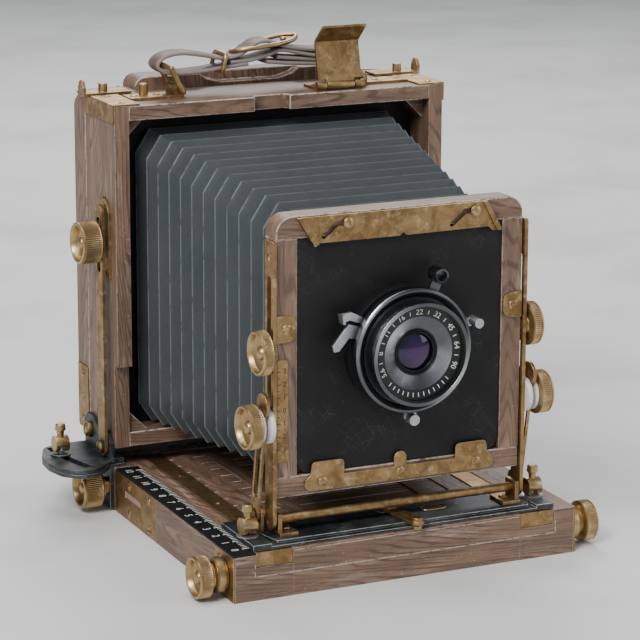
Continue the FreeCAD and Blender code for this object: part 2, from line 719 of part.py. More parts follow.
def bellows_rear_frame():
    """Black frame, in four bars, that the rear end of the bellows is glued to."""
    left = box(-inner_wall, -66, bellows_plate_front, bellows_plate_rear, box_low + wall, box_high - wall)
    low = box(-66, 66, bellows_plate_front, bellows_plate_rear, box_low + wall, box_low + wall + 12)
    high = box(-66, 66, bellows_plate_front, bellows_plate_rear, box_high - wall - 12, box_high - wall)
    return pair(left) + [low, high]


def rear_box_fittings():
    """Brass on the rear box: corners, strut guides, strap plates with lugs, latch leaf, pivot screws."""
    corner = box(-box_half - 0.9, -box_half, box_front, box_rear, box_high - 8.5, box_high)
    over = box(-box_half - 0.9, -76.5, box_front, box_rear - 10, box_high - 0.1, box_high + 0.9)
    corner = corner.fuse(over)
    corner = corner.cut(box(-box_half, -70, 140, 190, box_high - 5, box_high))
    guide = box(-91.4, -box_half, 152, 170, 120.5, 151.5).fuse(rod_x(-91.4, -box_half, 161, 151.5, 9))
    guide = guide.cut(rod_x(-100, -80, rear_strut_foot[0], rear_strut_knob_z, stud_radius + fit))
    plate = box(-76.2, -48, 157.5, 170.5, box_high, box_high + 1.4)
    lug = box(-53.0, -47.0, 157.5, 170.5, box_high + 1.4, box_high + 3.6)
    lug = lug.fuse(rod_y(157.5, 170.5, -50, box_high + 3.6, 3.0))
    lug = lug.cut(rod_y(150, 180, -50, box_high + 3.6, 1.4 + fit))
    strap_plate = plate.fuse(lug)
    rest = pair(corner.removeSplitter()) + pair(guide.removeSplitter()) + pair(strap_plate.removeSplitter())
    hinge_x, hinge_u = 33.5, 149.0
    leaf = box(hinge_x - 12.5, hinge_x + 12.5, hinge_u, 166, box_high, box_high + 1.4)
    leaf = leaf.cut(rod_x(0, 60, hinge_u, box_high + 2.6, 2.4))
    pin = rod_x(hinge_x - 13, hinge_x + 13, hinge_u, box_high + 2.6, 1.0)
    for x in (hinge_x - 13, hinge_x + 8):
        knuckle = rod_x(x, x + 5, hinge_u, box_high + 2.6, 2.2)
        leaf = leaf.fuse([knuckle, box(x, x + 5, hinge_u, hinge_u + 3, box_high, box_high + 1.4)])
    u, z = rear_pivot
    screw = rod_x(-cheek_out - 0.4, -box_half, u, z, 2.5).fuse(rod_x(-94.4, -cheek_out - gap, u, z, 4.2))
    return rest + pair(screw.removeSplitter()) + [leaf.fuse(pin).removeSplitter()]


def carry_strap():
    """Soft leather carrying strap: one slack bar between the two rings."""
    return slab_xz([(-46, 217), (36, 217), (40, 224), (36, 231), (-20, 231), (-50, 226), (-50, 221)],
                   164, 177)


def rear_strut_knob_left():
    """Rear tilt clamp knob, left."""
    return knob(95.2, 106.0, rear_strut_foot[0], rear_strut_knob_z, knob_radius, 11.0)


def rear_strut_knob_right():
    """Rear tilt clamp knob, right."""
    return mirrored(rear_strut_knob_left())


def latch_flap():
    """Brass closing latch, raised: plate leaning back with its hook bent forwards."""
    x0, x1, u, z = 21.0, 46.0, 149.0, box_high + 2.6
    flap = slab_yz([(u - 0.9, z), (u + 1.0, z), (u + 5.4, 231.5), (u + 4.6, 233.5), (u - 4.6, 241.6),
                    (u - 5.4, 240.6), (u + 3.6, 232.4), (u + 3.8, 231.0)], x0 + 0.5, x1 - 0.5)
    for x in (x0 - 1, x1 - 4.7):
        flap = flap.cut(box(x, x + 5.7, u - 4, u + 4, z - 3, z + 3.2))
    barrel = rod_x(x0 + 5, x1 - 5, u, z, 2.2)
    return flap.fuse(barrel).cut(rod_x(0, 60, u, z, 1.0 + fit)).removeSplitter()


def strap_ring(x, tilt, reach):
    """Rectangular wire ring with its lower side in the lug, leaning to -X."""
    wire = 1.4
    z = box_high + 3.6
    end_x, end_z = x - reach * math.sin(tilt), z + reach * math.cos(tilt)
    near, far = 155.5, 172.5
    bars = [rod_y(near, far, x, z, wire), rod_y(near, far, end_x, end_z, wire)]
    for u in (near, far):
        bars.append(Part.makeCylinder(wire, reach, Vector(x, Y(u), z), Vector(end_x - x, 0, end_z - z)))
        bars += [Part.makeSphere(wire, Vector(x, Y(u), z)), Part.makeSphere(wire, Vector(end_x, Y(u), end_z))]
    return bars[0].fuse(bars[1:])


def ring_left():
    """Left strap ring."""
    return strap_ring(-50, math.radians(25), 13)


def ring_right():
    """Right strap ring, leaning in to the strap."""
    return strap_ring(50, math.radians(33), 12.5)


lock_near, lock_far = 178.2, 191.0


def slide_lock_left():
    """Slide that locks the back to the box: strip across the joint, finger post, upright paddle."""
    middle, half_paddle = 182.0, 3.8
    low = box_high + gap
    strip = box(-92.6, -68, lock_near, lock_far, low, low + 1.4)
    near, far = middle - half_paddle, middle + half_paddle
    paddle = slab_yz([(near, low), (far, low), (far, 212.5), (middle + 2, 215.4),
                      (middle, 216.4), (middle - 2, 215.4), (near, 212.5)], -93.8, -92.2)
    post = rod_z_(low + 1.2, box_high + 6.0, -82, middle, 2.3)
    return strip.fuse([paddle, post]).removeSplitter()


def slide_lock_right():
    """Right-hand back lock."""
    return mirrored(slide_lock_left())


# ---- back ----
back_front = box_rear + gap
back_rear = back_front + back_depth
window_half, window_low, window_high = 66.0, 64.0, 174.0


def back_frame():
    """Wooden back in four bars; the top bar carries the raised middle with its finger scoop."""
    side = box(-box_half, -window_half, back_front, back_rear, 32.0, box_high)
    side = rounded(side, 8.0,
                   lambda e: e.BoundBox.ZMin > box_high - 0.01 and e.BoundBox.XMax < -box_half + 0.01)
    low = box(-window_half, window_half, back_front, back_rear, 32.0, window_low)
    high = box(-window_half, window_half, back_front, back_rear, window_high, box_high)
    hump = box(-63.4, 63.4, back_front, back_rear, window_high + 1, hump_high)
    hump = rounded(hump, 6.0, lambda e: e.BoundBox.ZMin > hump_high - 0.01 and e.BoundBox.XLength < 0.01)
    high = high.fuse(hump).removeSplitter()
    scoop = slab_xz([(-31, 217), (-24, 212.0), (-16, 209.8), (16, 209.8), (24, 212.0), (31, 217)],
                    back_front - 1, back_front + 5.5)
    return pair(side) + [low, high.cut(scoop)]


glass_front = back_rear + 0.2


def ground_glass_frame():
    """Spring frame of the focusing screen, in four bars, with its two brass leaf springs."""
    left = box(-76, -62, glass_front, glass_front + 9, 58, 180)
    low = box(-62, 62, glass_front, glass_front + 9, 58, 70)
    high = box(-62, 62, glass_front, glass_front + 9, 168, 180)
    return pair(left) + [low, high]


def ground_glass():
    """Focusing screen with clipped corners, let into the spring frame."""
    clip = 9
    return slab_xz([(-61.8 + clip, 70.2), (61.8 - clip, 70.2), (61.8, 70.2 + clip), (61.8, 167.8 - clip),
                    (61.8 - clip, 167.8), (-61.8 + clip, 167.8), (-61.8, 167.8 - clip), (-61.8, 70.2 + clip)],
                   glass_front + 3, glass_front + 5)


def back_springs():
    """Brass leaf springs that press the screen frame to the back."""
    spring = box(-84, -78.5, back_rear, back_rear + 1.0, 96, 142)
    arm = box(-78.5, -70, back_rear + 9.8, back_rear + 10.8, 112, 126)
    riser = box(-78.9, -77.9, back_rear, back_rear + 10.8, 112, 126)
    return pair(spring.fuse([arm, riser]).removeSplitter())


# ---- bellows ----
bellows_start = frame_rear + 0.2


def bellows_ring(u, half_x, low, high):
    """Eight-sided outline across the camera: a rectangle with its corners cut."""
    cut = 10.0
    corners = []
    for x, z, first in ((-1, low, 1), (1, low, 0), (1, high, 1), (-1, high, 0)):
        inward = cut if z == low else -cut
        ends = [(x * half_x, z + inward), (x * (half_x - cut), z)]
        corners += ends if first else ends[::-1]
    points = [Vector(x, Y(u), z) for x, z in corners]
    return Part.makePolygon(points + points[:1])


def bellows():
    """Soft tapered bellows, a hollow sleeve from the lens frame to the black rear frame."""
    skin = 2.0
    start, end = bellows_start, bellows_plate_front
    outer = Part.makeLoft([bellows_ring(start, 52, 47, 173), bellows_ring(end, 74, 41.5, 194)], True, True)
    hollow = [bellows_ring(start - 1, 52 - skin, 47 + skin, 173 - skin),
              bellows_ring(end + 1, 74 - skin, 41.5 + skin, 194 - skin)]
    return outer.cut(Part.makeLoft(hollow, True, True))


NODES = [
    bed_frame, bed_panel, tripod_plate, focus_scale, bed_side_plates,
    focus_rails, focus_shaft, focus_knobs, carriage_plate, front_cam_left, front_cam_right,
    front_swing_plate, foot_brackets, swing_lock_lever, uprights, tie_rod, front_struts, strut_washers,
    strut_knob_left, strut_knob_right, rise_blocks, rise_knob_left, rise_knob_right,
    lens_frame_stiles, lens_frame_rails, lens_fittings, lens_board, shutter_body, speed_ring, lens_cells,
    lens_glass, aperture_lever, cocking_lever, release_lever, preview_lever, lock_plate,
    rear_carriage_plate, rear_lock_knob, rear_swing_plate, rear_cam_left, rear_cam_right, rear_struts,
    rear_box_sides, rear_box_top, rear_box_sill, bellows_rear_frame, rear_box_fittings, carry_strap,
    rear_strut_knob_left, rear_strut_knob_right, latch_flap, ring_left, ring_right,
    slide_lock_left, slide_lock_right, back_frame, ground_glass_frame, ground_glass, back_springs, bellows,
]

for make in NODES:
    made = make()
    pieces = made if isinstance(made, list) else [made]
    solids = [solid for piece in pieces for solid in piece.Solids]
    shape = solids[0] if len(solids) == 1 else Part.makeCompound(solids)
    shape.exportStep(f"parts/{make.__name__}.step")
    print(make.__name__, len(solids), "solids", round(shape.Volume / 1000, 2), "cm3", shape.isValid())
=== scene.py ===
"""Wooden folding field camera: materials, knurled knobs, folded bellows, strap, screws and scales.

Everything is in metres in the camera's own frame: +Z up, the lens looks along -Y. Pieces are placed from
the boxes of the CAD nodes, and each one but the bellows rides on the body that carries it.
"""
import math

import bmesh
import bpy
import numpy as np
from mathutils import Matrix, Vector


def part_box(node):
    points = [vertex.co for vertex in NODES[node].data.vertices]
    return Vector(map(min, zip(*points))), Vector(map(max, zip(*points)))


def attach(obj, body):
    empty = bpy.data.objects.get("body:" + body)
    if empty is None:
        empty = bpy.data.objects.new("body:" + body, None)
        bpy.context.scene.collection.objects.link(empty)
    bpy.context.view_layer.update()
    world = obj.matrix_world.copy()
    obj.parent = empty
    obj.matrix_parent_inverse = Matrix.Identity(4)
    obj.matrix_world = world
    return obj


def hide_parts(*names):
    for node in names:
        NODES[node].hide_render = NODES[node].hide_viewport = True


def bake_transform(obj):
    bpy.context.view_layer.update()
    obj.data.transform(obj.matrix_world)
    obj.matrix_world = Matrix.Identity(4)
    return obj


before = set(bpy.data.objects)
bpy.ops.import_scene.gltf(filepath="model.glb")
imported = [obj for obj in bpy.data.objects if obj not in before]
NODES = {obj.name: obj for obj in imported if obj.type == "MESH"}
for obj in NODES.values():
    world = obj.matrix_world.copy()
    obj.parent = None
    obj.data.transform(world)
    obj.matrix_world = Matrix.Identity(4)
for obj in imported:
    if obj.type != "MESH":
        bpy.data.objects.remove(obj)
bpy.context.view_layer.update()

bl_info = {
    "name": "Field Camera Finish",
    "version": (1, 0, 0),
    "blender": (4, 5, 0),
    "location": "View3D > Sidebar > Field Camera",
    "description": "Finishes a wooden folding field camera: wood, brass, bellows, strap, lens and scales",
    "category": "Object",
}

MM = 0.001
TOUCHING = 1e-6
TAU = 2 * math.pi
X_AXIS = np.array([1.0, 0.0, 0.0])
Y_AXIS = np.array([0.0, 1.0, 0.0])
Z_AXIS = np.array([0.0, 0.0, 1.0])


def in_metres(pairs):
    """Pairs of millimetres as pairs of metres."""
    return [(first * MM, second * MM) for first, second in pairs]


def span(node):
    """Low corner, high corner and centre of a CAD node, as arrays."""
    low, high = (np.array(corner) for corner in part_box(node))
    return low, high, (low + high) / 2


# ---------------------------------------------------------------- settings

def length(name, words, millimetres):
    """One length property."""
    return bpy.props.FloatProperty(name=name, description=words, default=millimetres * MM, unit="LENGTH")


def colour(name, words, value):
    """One colour property."""
    return bpy.props.FloatVectorProperty(name=name, description=words, default=value, size=3,
                                         subtype="COLOR", min=0.0, max=1.0)


class CameraSizes(bpy.types.PropertyGroup):
    """Sizes that a user may change."""

    half_pleats: bpy.props.IntProperty(name="Half Pleats", description="Panels along the bellows", default=27)
    fold_depth: length("Fold Depth", "Depth of each fold", 5.0)
    cloth_wall: length("Cloth Wall", "Thickness of the bellows cloth", 0.6)
    knurls: bpy.props.IntProperty(name="Knurls", description="Grooves round a knob", default=64)
    knurl_depth: length("Knurl Depth", "Depth of the grooves", 0.35)
    strap_width: length("Strap Width", "Width of the carrying strap", 12.0)
    strap_wall: length("Strap Thickness", "Thickness of the strap", 2.0)
    wood_edge: length("Wood Edge", "Rounding of the wooden edges", 0.55)
    metal_edge: length("Metal Edge", "Rounding of the metal edges", 0.22)


class CameraColours(bpy.types.PropertyGroup):
    """Colours that a user may change."""

    wood_dark: colour("Wood Dark", "Dark rings of the walnut", (0.075, 0.042, 0.028))
    wood_mid: colour("Wood", "Body of the walnut", (0.235, 0.140, 0.090))
    wood_light: colour("Wood Light", "Light rings of the walnut", (0.370, 0.255, 0.185))
    wood_dust: colour("Worn Wood", "Rubbed, dusty wood", (0.540, 0.455, 0.400))
    brass_dark: colour("Brass Tarnish", "Tarnished brass", (0.175, 0.098, 0.036))
    brass: colour("Brass", "Aged brass", (0.385, 0.250, 0.116))
    brass_bright: colour("Brass Rubbed", "Rubbed brass edges", (0.640, 0.490, 0.275))
    enamel: colour("Black Plate", "Black enamelled plates", (0.014, 0.017, 0.020))
    cloth: colour("Bellows", "Bellows cloth", (0.027, 0.034, 0.038))
    cloth_worn: colour("Bellows Folds", "Rubbed folds of the bellows", (0.160, 0.190, 0.202))
    leather: colour("Leather", "Strap leather", (0.185, 0.135, 0.118))
    chrome: colour("Chrome", "Satin chrome", (0.560, 0.570, 0.590))


def sizes():
    """The size settings of the scene."""
    return bpy.context.scene.camera_sizes


def colours():
    """The colour settings of the scene."""
    return bpy.context.scene.camera_colours


# ---------------------------------------------------------------- shader maths

def sign_method(operation, swapped=False):
    """A method for an arithmetic sign, which adds one Math node."""
    def method(self, *others):
        values = (*others, self) if swapped else (self, *others)
        return self.math(operation, *values)
    return method


class Wire:
    """A shader socket that arithmetic works on; each sign adds one Math node."""

    def __init__(self, finish, socket):
        self.finish = finish
        self.socket = socket

    def math(self, operation, *values):
        """The result of one Math node."""
        return self.finish.node("Math", {"operation": operation}, dict(enumerate(values)))

    __add__ = __radd__ = sign_method("ADD")
    __sub__ = sign_method("SUBTRACT")
    __rsub__ = sign_method("SUBTRACT", swapped=True)
    __mul__ = __rmul__ = sign_method("MULTIPLY")
    __truediv__ = sign_method("DIVIDE")
    __pow__ = sign_method("POWER")
    __gt__ = sign_method("GREATER_THAN")
    __lt__ = sign_method("LESS_THAN")
    __abs__ = sign_method("ABSOLUTE")
    bigger = sign_method("MAXIMUM")

    def between(self, low, high):
        """0 below low and 1 above high, smooth at both ends."""
        return self.finish.node("MapRange", {"interpolation_type": "SMOOTHSTEP"},
                                {"Value": self, "From Min": low, "From Max": high})


class Finish:
    """A material under construction, with a Principled shader at its end."""

    def __init__(self, name):
        self.material = bpy.data.materials.new(name)
        self.material.use_nodes = True
        self.tree = self.material.node_tree
        self.tree.nodes.clear()
        self.place = self.node("TexCoord", output="Object")

    def node(self, kind, settings=None, inputs=None, output=0):
        """Adds a node: its settings first, then the values or links of its sockets; gives one output.

        With None for the output, it gives nothing.
        """
        made = self.tree.nodes.new("ShaderNode" + kind)
        for name, value in (settings or {}).items():
            if name == "stops":
                for index, (place, shade) in enumerate(value):
                    ramp = made.color_ramp.elements
                    stop = ramp[index] if index < 2 else ramp.new(place)
                    stop.position, stop.color = place, (*shade, 1.0)
            else:
                setattr(made, name, value)
        for name, value in (inputs or {}).items():
            socket = made.inputs[name]
            if isinstance(value, Wire):
                self.tree.links.new(value.socket, socket)
            elif socket.type == "RGBA":
                socket.default_value = (*tuple(value)[:3], 1.0)
            else:
                socket.default_value = value
        return None if output is None else Wire(self, made.outputs[output])

    def scaled(self, scale, shift=(0.0, 0.0, 0.0)):
        """Object coordinates, shifted and scaled."""
        return self.node("Mapping", {}, {"Vector": self.place, "Scale": scale, "Location": shift})

    def noise(self, scale, detail=4.0, vector=None, roughness=0.55, distortion=0.0):
        """Fractal noise from 0 to 1."""
        return self.node("TexNoise", {}, {"Vector": vector or self.place, "Scale": scale, "Detail": detail,
                                          "Roughness": roughness, "Distortion": distortion}, "Fac")

    def mix(self, factor, first, second, blend="MIX"):
        """One colour over another."""
        made = self.tree.nodes.new("ShaderNodeMix")
        made.data_type, made.blend_type = "RGBA", blend
        for index, value in ((0, factor), (6, first), (7, second)):
            if isinstance(value, Wire):
                self.tree.links.new(value.socket, made.inputs[index])
            elif index:
                made.inputs[index].default_value = (*tuple(value)[:3], 1.0)
            else:
                made.inputs[index].default_value = value
        return Wire(self, made.outputs[2])

    def axis(self, vector, name):
        """One number of a vector."""
        return self.node("SeparateXYZ", {}, {"Vector": vector}, name)

    def scratches(self, density, thin=0.012):
        """Fine straight scratches in two directions, from 0 to 1."""
        marks = None
        for turn, stretch in ((0.6, (1.0, 9.0, 9.0)), (-0.9, (9.0, 1.2, 9.0))):
            turned = self.node("VectorRotate", {"rotation_type": "EULER_XYZ"},
                               {"Vector": self.place, "Rotation": (turn, turn * 0.7, turn)})
            long = self.node("Mapping", {}, {"Vector": turned, "Scale": stretch})
            cells = self.node("TexVoronoi", {"feature": "DISTANCE_TO_EDGE"},
                              {"Vector": long, "Scale": density}, "Distance")
            line = 1 - cells.between(0.0, thin)
            faded = line * self.noise(density * 1.7, 2.0).between(0.5, 0.62)
            marks = faded if marks is None else marks.bigger(faded)
        return marks

    def finished(self, tint, rough, bump=None, depth=0.0, strength=0.0, **sockets):
        """Closes the material with a Principled shader; depth is the height of the bump, in millimetres."""
        sockets.update(Base_Color=tint, Roughness=rough)
        if bump is not None:
            sockets["Normal"] = self.node("Bump", {}, {"Height": bump, "Distance": depth * MM,
                                                       "Strength": strength}, "Normal")
        inputs = {name.replace("_", " "): value for name, value in sockets.items()}
        shader = self.node("BsdfPrincipled", {}, inputs)
        self.node("OutputMaterial", {}, {"Surface": shader}, None)
        return self.material


# ---------------------------------------------------------------- finishes

def walnut(name, grain, worn=0.0, shift=0.0):
    """Oiled walnut with its fibres along an axis.

    The grain "front" runs along Y, and along X on the faces that look along Y.
    """
    c = colours()
    f = Finish(name)
    drawn_out, swirl_reach = 0.10, 0.017
    along = {"X": (drawn_out, 1.0, 1.0), "Y": (1.0, drawn_out, 1.0), "Z": (1.0, 1.0, drawn_out)}
    if grain == "front":
        normal = f.node("NewGeometry", output="Normal")
        facing = abs(f.axis(normal, "Y")) > 0.7
        fibre = f.mix(facing, along["Y"], along["X"])
    else:
        fibre = along[grain]
    moved = f.node("VectorMath", {"operation": "ADD"}, {0: f.place, 1: (shift, shift * 1.7, shift * 0.6)})
    drawn = f.node("VectorMath", {"operation": "MULTIPLY"}, {0: moved, 1: fibre})
    swirl = f.noise(48.0, 2.0, drawn, 0.4)
    bent = f.node("VectorMath", {"operation": "MULTIPLY_ADD"},
                  {0: f.node("CombineXYZ", {}, {"X": swirl, "Y": swirl, "Z": swirl}),
                   1: (swirl_reach, swirl_reach, swirl_reach), 2: drawn})
    rings = f.node("TexWave", {"wave_type": "BANDS", "bands_direction": "DIAGONAL"},
                   {"Vector": bent, "Scale": 235.0, "Distortion": 1.6, "Detail": 2.0, "Detail Scale": 1.2},
                   "Fac")
    streaks = f.noise(170.0, 4.0, drawn, 0.6)
    pores = f.noise(1500.0, 2.0, drawn, 0.6)
    patches = f.noise(38.0, 4.0, moved)
    body = f.mix(streaks.between(0.36, 0.64), tuple(0.66 * v for v in c.wood_mid), c.wood_mid)
    body = f.mix(streaks.between(0.55, 0.72) * patches.between(0.35, 0.65) * 0.8, body, c.wood_light)
    body = f.mix(rings.between(0.62, 0.98) * patches.between(0.25, 0.60) * 0.85, body, c.wood_dark)
    body = f.mix(pores.between(0.56, 0.70) * 0.6, body, c.wood_dark)
    chalk = f.noise(300.0, 5.0, drawn, 0.7).between(0.50, 0.74) * patches.between(0.40, 0.66)
    dented = f.noise(60.0, 2.0, moved).between(0.50, 0.62)
    dents = f.noise(520.0, 3.0, moved, 0.7).between(0.63, 0.69) * dented
    rubbed = (chalk * 0.50).bigger(dents * 0.45)
    if worn:
        broken = f.noise(330.0, 4.0, moved, 0.7).between(0.34, 0.56)
        rubbed = rubbed.bigger(broken * worn)
    body = f.mix(rubbed, body, c.wood_dust)
    height = rings * 0.25 + pores * 0.45 - rubbed * 0.3
    return f.finished(body, 0.46 + rubbed * 0.3 + pores * 0.12, height, 0.25, 0.55, Coat_Weight=0.06,
                      Coat_Roughness=0.35)


def aged_brass(name, polish=0.0, worn=0.0, dark=0.0):
    """Aged brass, with cloudy tarnish and fine scratches: polished, worn bright or darker, each 0 to 1."""
    c = colours()
    f = Finish(name)
    cloud = f.noise(110.0, 6.0, roughness=0.68, distortion=0.6)
    specks = f.noise(420.0, 3.0, roughness=0.7)
    tarnish = cloud.between(0.36 + 0.14 * polish - 0.08 * dark, 0.66 + 0.1 * polish)
    tint = f.mix(tarnish * (0.80 - 0.45 * polish), c.brass, c.brass_dark)
    clear = f.noise(240.0, 4.0, roughness=0.6).between(0.52, 0.70)
    tint = f.mix(clear * (0.55 - 0.3 * dark), tint, c.brass_bright)
    lines = f.scratches(70.0)
    bright = (lines * 0.5).bigger(specks.between(0.62, 0.74) * 0.35)
    tint = f.mix(bright.bigger(0.02 + 0.35 * polish + 0.85 * worn), tint, c.brass_bright)
    tint = f.mix(specks.between(0.30, 0.22) * 0.5, tint, c.brass_dark)
    rough = 0.40 - 0.16 * polish - 0.08 * worn + cloud * 0.16 + lines * 0.1
    return f.finished(tint, rough, specks * 0.6 - lines, 0.06, 0.35, Metallic=1.0)


def black_plate(name, worn=0.0):
    """Black enamel on steel: cloudy rubbed patches, scratches, silvery edges."""
    c = colours()
    f = Finish(name)
    cloud = f.noise(34.0, 7.0, roughness=0.7)
    lines = f.scratches(48.0)
    chips = f.noise(300.0, 4.0, roughness=0.75)
    grey = f.mix(cloud.between(0.42, 0.72), c.enamel, (0.085, 0.095, 0.100))
    bare = (lines * 0.55).bigger(chips.between(0.66, 0.74) * 0.5)
    if worn:
        bare = bare.bigger(chips.between(0.30, 0.50) * worn)
    tint = f.mix(bare, grey, (0.62, 0.64, 0.65))
    return f.finished(tint, 0.36 + cloud * 0.2, chips * 0.5 - lines, 0.06, 0.4, Metallic=0.35 + bare * 0.5)


def satin_metal(name, tint, rough):
    """Satin plated metal with fine brushing."""
    f = Finish(name)
    marks = f.noise(900.0, 3.0, f.scaled((1.0, 0.08, 1.0)))
    smears = f.noise(90.0, 4.0)
    shade = f.mix(smears.between(0.35, 0.75) * 0.45, tint, tuple(0.45 * v for v in tint))
    return f.finished(shade, rough + marks * 0.14 + smears * 0.08, marks, 0.03, 0.3, Metallic=1.0)


def around_lens(f):
    """How far each point of a material lies from the lens axis, and its X and Z measured from that axis."""
    centred = f.scaled((1.0, 1.0, 1.0), (0.0, 0.0, -span("speed_ring")[2][2]))
    x, z = f.axis(centred, "X"), f.axis(centred, "Z")
    return (x * x + z * z) ** 0.5, x, z


def turned_metal(name, bands, dark_behind=None):
    """Turned metal about the lens axis; inside each (from, to) band of radius it is black instead of bright.

    Bright metal carries a painted highlight: its shade swells and fades twice round the axis, standing in for
    the light that a turned face reflects.
    """
    f = Finish(name)
    radius, x, z = around_lens(f)
    angle = z.math("ARCTAN2", z, x)
    dark = None
    for inner, outer in bands:
        ring = (radius > inner * MM) * (radius < outer * MM)
        dark = ring if dark is None else dark.bigger(ring)
    if dark_behind is not None:
        dark = dark.bigger(f.axis(f.place, "Y") > dark_behind)
    # painted highlight: bright at two places round the axis and dark between, in place of light reflected off
    # turned metal
    streak = (angle.math("COSINE", angle * 2.0 + 1.2) * 0.5 + 0.5) ** 4.0
    marks = f.noise(1.0, 3.0, f.node("CombineXYZ", {}, {"X": radius * 8000.0, "Y": angle * 2.0}))
    smears = f.noise(120.0, 3.0)
    # the bright metal's colour runs from dark to bright with the painted highlight and with random smears
    steel = f.mix(streak * 0.8 + smears * 0.2, (0.070, 0.074, 0.080), (0.50, 0.52, 0.54))
    tint = f.mix(dark, steel, (0.010, 0.010, 0.011))
    return f.finished(tint, 0.22 + dark * 0.14 + marks * 0.12, marks, 0.04, 0.35, Metallic=1 - dark * 0.85)


def matte_black(name, tone, rough, grain=700.0):
    """Matte black paint with faint dust and hairline scratches."""
    f = Finish(name)
    fine = f.noise(grain, 3.0)
    cloud = f.noise(26.0, 5.0, roughness=0.65)
    lines = f.scratches(30.0, 0.006)
    dusty = (tone * 2.2, tone * 2.2, tone * 2.3)
    tint = f.mix(cloud.between(0.4, 0.75) * 0.8, (tone, tone, tone * 1.08), dusty)
    tint = f.mix((lines * 0.18).bigger(fine.between(0.68, 0.75) * 0.10), tint, (0.4, 0.4, 0.4))
    return f.finished(tint, rough + cloud * 0.15, fine, 0.08, 0.35, Specular_IOR_Level=0.28)


def bellows_cloth(name):
    """Coated bellows cloth: fine weave on the cloth's own map, folds rubbed light along their ridges, painted
    shade on its top.
    """
    c = colours()
    f = Finish(name)
    sheet = f.node("UVMap", {"uv_map": "cloth"})
    ridge = f.node("Attribute", {"attribute_name": "ridge"}, output="Fac")
    across, along = f.axis(sheet, "X"), f.axis(sheet, "Y")
    threads = 5200.0
    weave = across.math("SINE", across * threads) * along.math("SINE", along * threads)
    cloud = f.noise(24.0, 6.0, roughness=0.65)
    streak = f.noise(30.0, 4.0, f.node("Mapping", {}, {"Vector": sheet, "Scale": (8.0, 90.0, 1.0)}))
    worn = ridge.between(0.90, 1.0) * f.noise(140.0, 4.0).between(0.30, 0.52)
    tint = f.mix(cloud.between(0.3, 0.75), c.cloth, (0.042, 0.050, 0.053))
    tint = f.mix(streak.between(0.52, 0.76) * 0.35, tint, (0.078, 0.086, 0.087))
    # painted shade: cloth that faces up is drawn greyer and darker, standing in for the shade on the bellows'
    # top
    up = f.axis(f.node("NewGeometry", output="Normal"), "Z")
    tint = f.mix(up.between(0.5, 0.9) * 0.45, tint, (0.036, 0.038, 0.036))
    # rubbed ridges, weakened on cloth that faces up as part of the painted shade on top
    tint = f.mix(worn * (0.8 - up.between(0.3, 0.8) * 0.5), tint, c.cloth_worn)
    height = weave * 0.5 + cloud * 0.6
    return f.finished(tint, 0.56 + cloud * 0.16 - worn * 0.1, height, 0.12, 0.35, Sheen_Weight=0.12,
                      Sheen_Roughness=0.5)


def strap_leather(name):
    """Worn grey-brown leather: pebbled grain, rubbed edges from the strap's own map."""
    c = colours()
    f = Finish(name)
    sheet = f.node("UVMap", {"uv_map": "cloth"})
    edge = abs(f.axis(sheet, "X")).between(0.78, 0.98)
    pebbles = f.node("TexVoronoi", {"feature": "SMOOTH_F1"}, {"Vector": f.place, "Scale": 1500.0}, "Distance")
    cloud = f.noise(85.0, 5.0)
    tint = f.mix(cloud.between(0.35, 0.7), c.leather, (0.110, 0.078, 0.066))
    tint = f.mix(edge * 0.55, tint, (0.330, 0.290, 0.265))
    return f.finished(tint, 0.50 + cloud * 0.2, pebbles + cloud * 0.6, 0.15, 0.5, Coat_Weight=0.05)


def coated_glass(name):
    """Coated lens glass with a hard gloss: almost black as painted shade of the dark lens, purple towards its
    middle as a painted reflection of the coating.
    """
    f = Finish(name)
    radius = around_lens(f)[0]
    haze_and_painted_reflection = f.noise(70.0, 2.0)
    # painted reflection: purple towards the middle and bluish clouds stand in for light off the coating; the
    # near black is painted shade of the dark lens behind the glass
    tint = f.mix(radius.between(2.0 * MM, 9.0 * MM), (0.030, 0.008, 0.055), (0.005, 0.003, 0.012))
    tint = f.mix(haze_and_painted_reflection.between(0.45, 0.7) * 0.4, tint, (0.012, 0.020, 0.060))
    return f.finished(tint, 0.03 + haze_and_painted_reflection * 0.02, IOR=1.48, Coat_Weight=0.5, Coat_Roughness=0.02,
                      Specular_Tint=(0.80, 0.62, 1.0))


def frosted_glass(name):
    """Ground focusing screen with a fine pencilled grid."""
    f = Finish(name)
    middle = span("ground_glass")[2]
    grid, pencil = 10.0 * MM, 0.014
    frost = f.noise(2600.0, 2.0)
    lines = None
    for axis, centre in (("X", middle[0]), ("Z", middle[2])):
        step = (f.axis(f.place, axis) - centre) / grid
        line = abs(step.math("FRACT", step + 0.5) - 0.5) < pencil
        lines = line if lines is None else lines.bigger(line)
    tint = f.mix(lines * 0.6, (0.50, 0.53, 0.52), (0.10, 0.11, 0.12))
    return f.finished(tint, 0.42 + frost * 0.1, frost, 0.04, 0.5, Transmission_Weight=0.15)


def plain_finish(name, tint, rough, grain=500.0):
    """Even finish with a little mottling and fine grain: nylon, paint and markings."""
    f = Finish(name)
    fine = f.noise(grain, 3.0)
    shade = f.mix(fine.between(0.4, 0.75) * 0.5, tint, tuple(0.7 * v for v in tint))
    return f.finished(shade, rough + fine * 0.1, fine, 0.04, 0.3)


FINISHES = {}


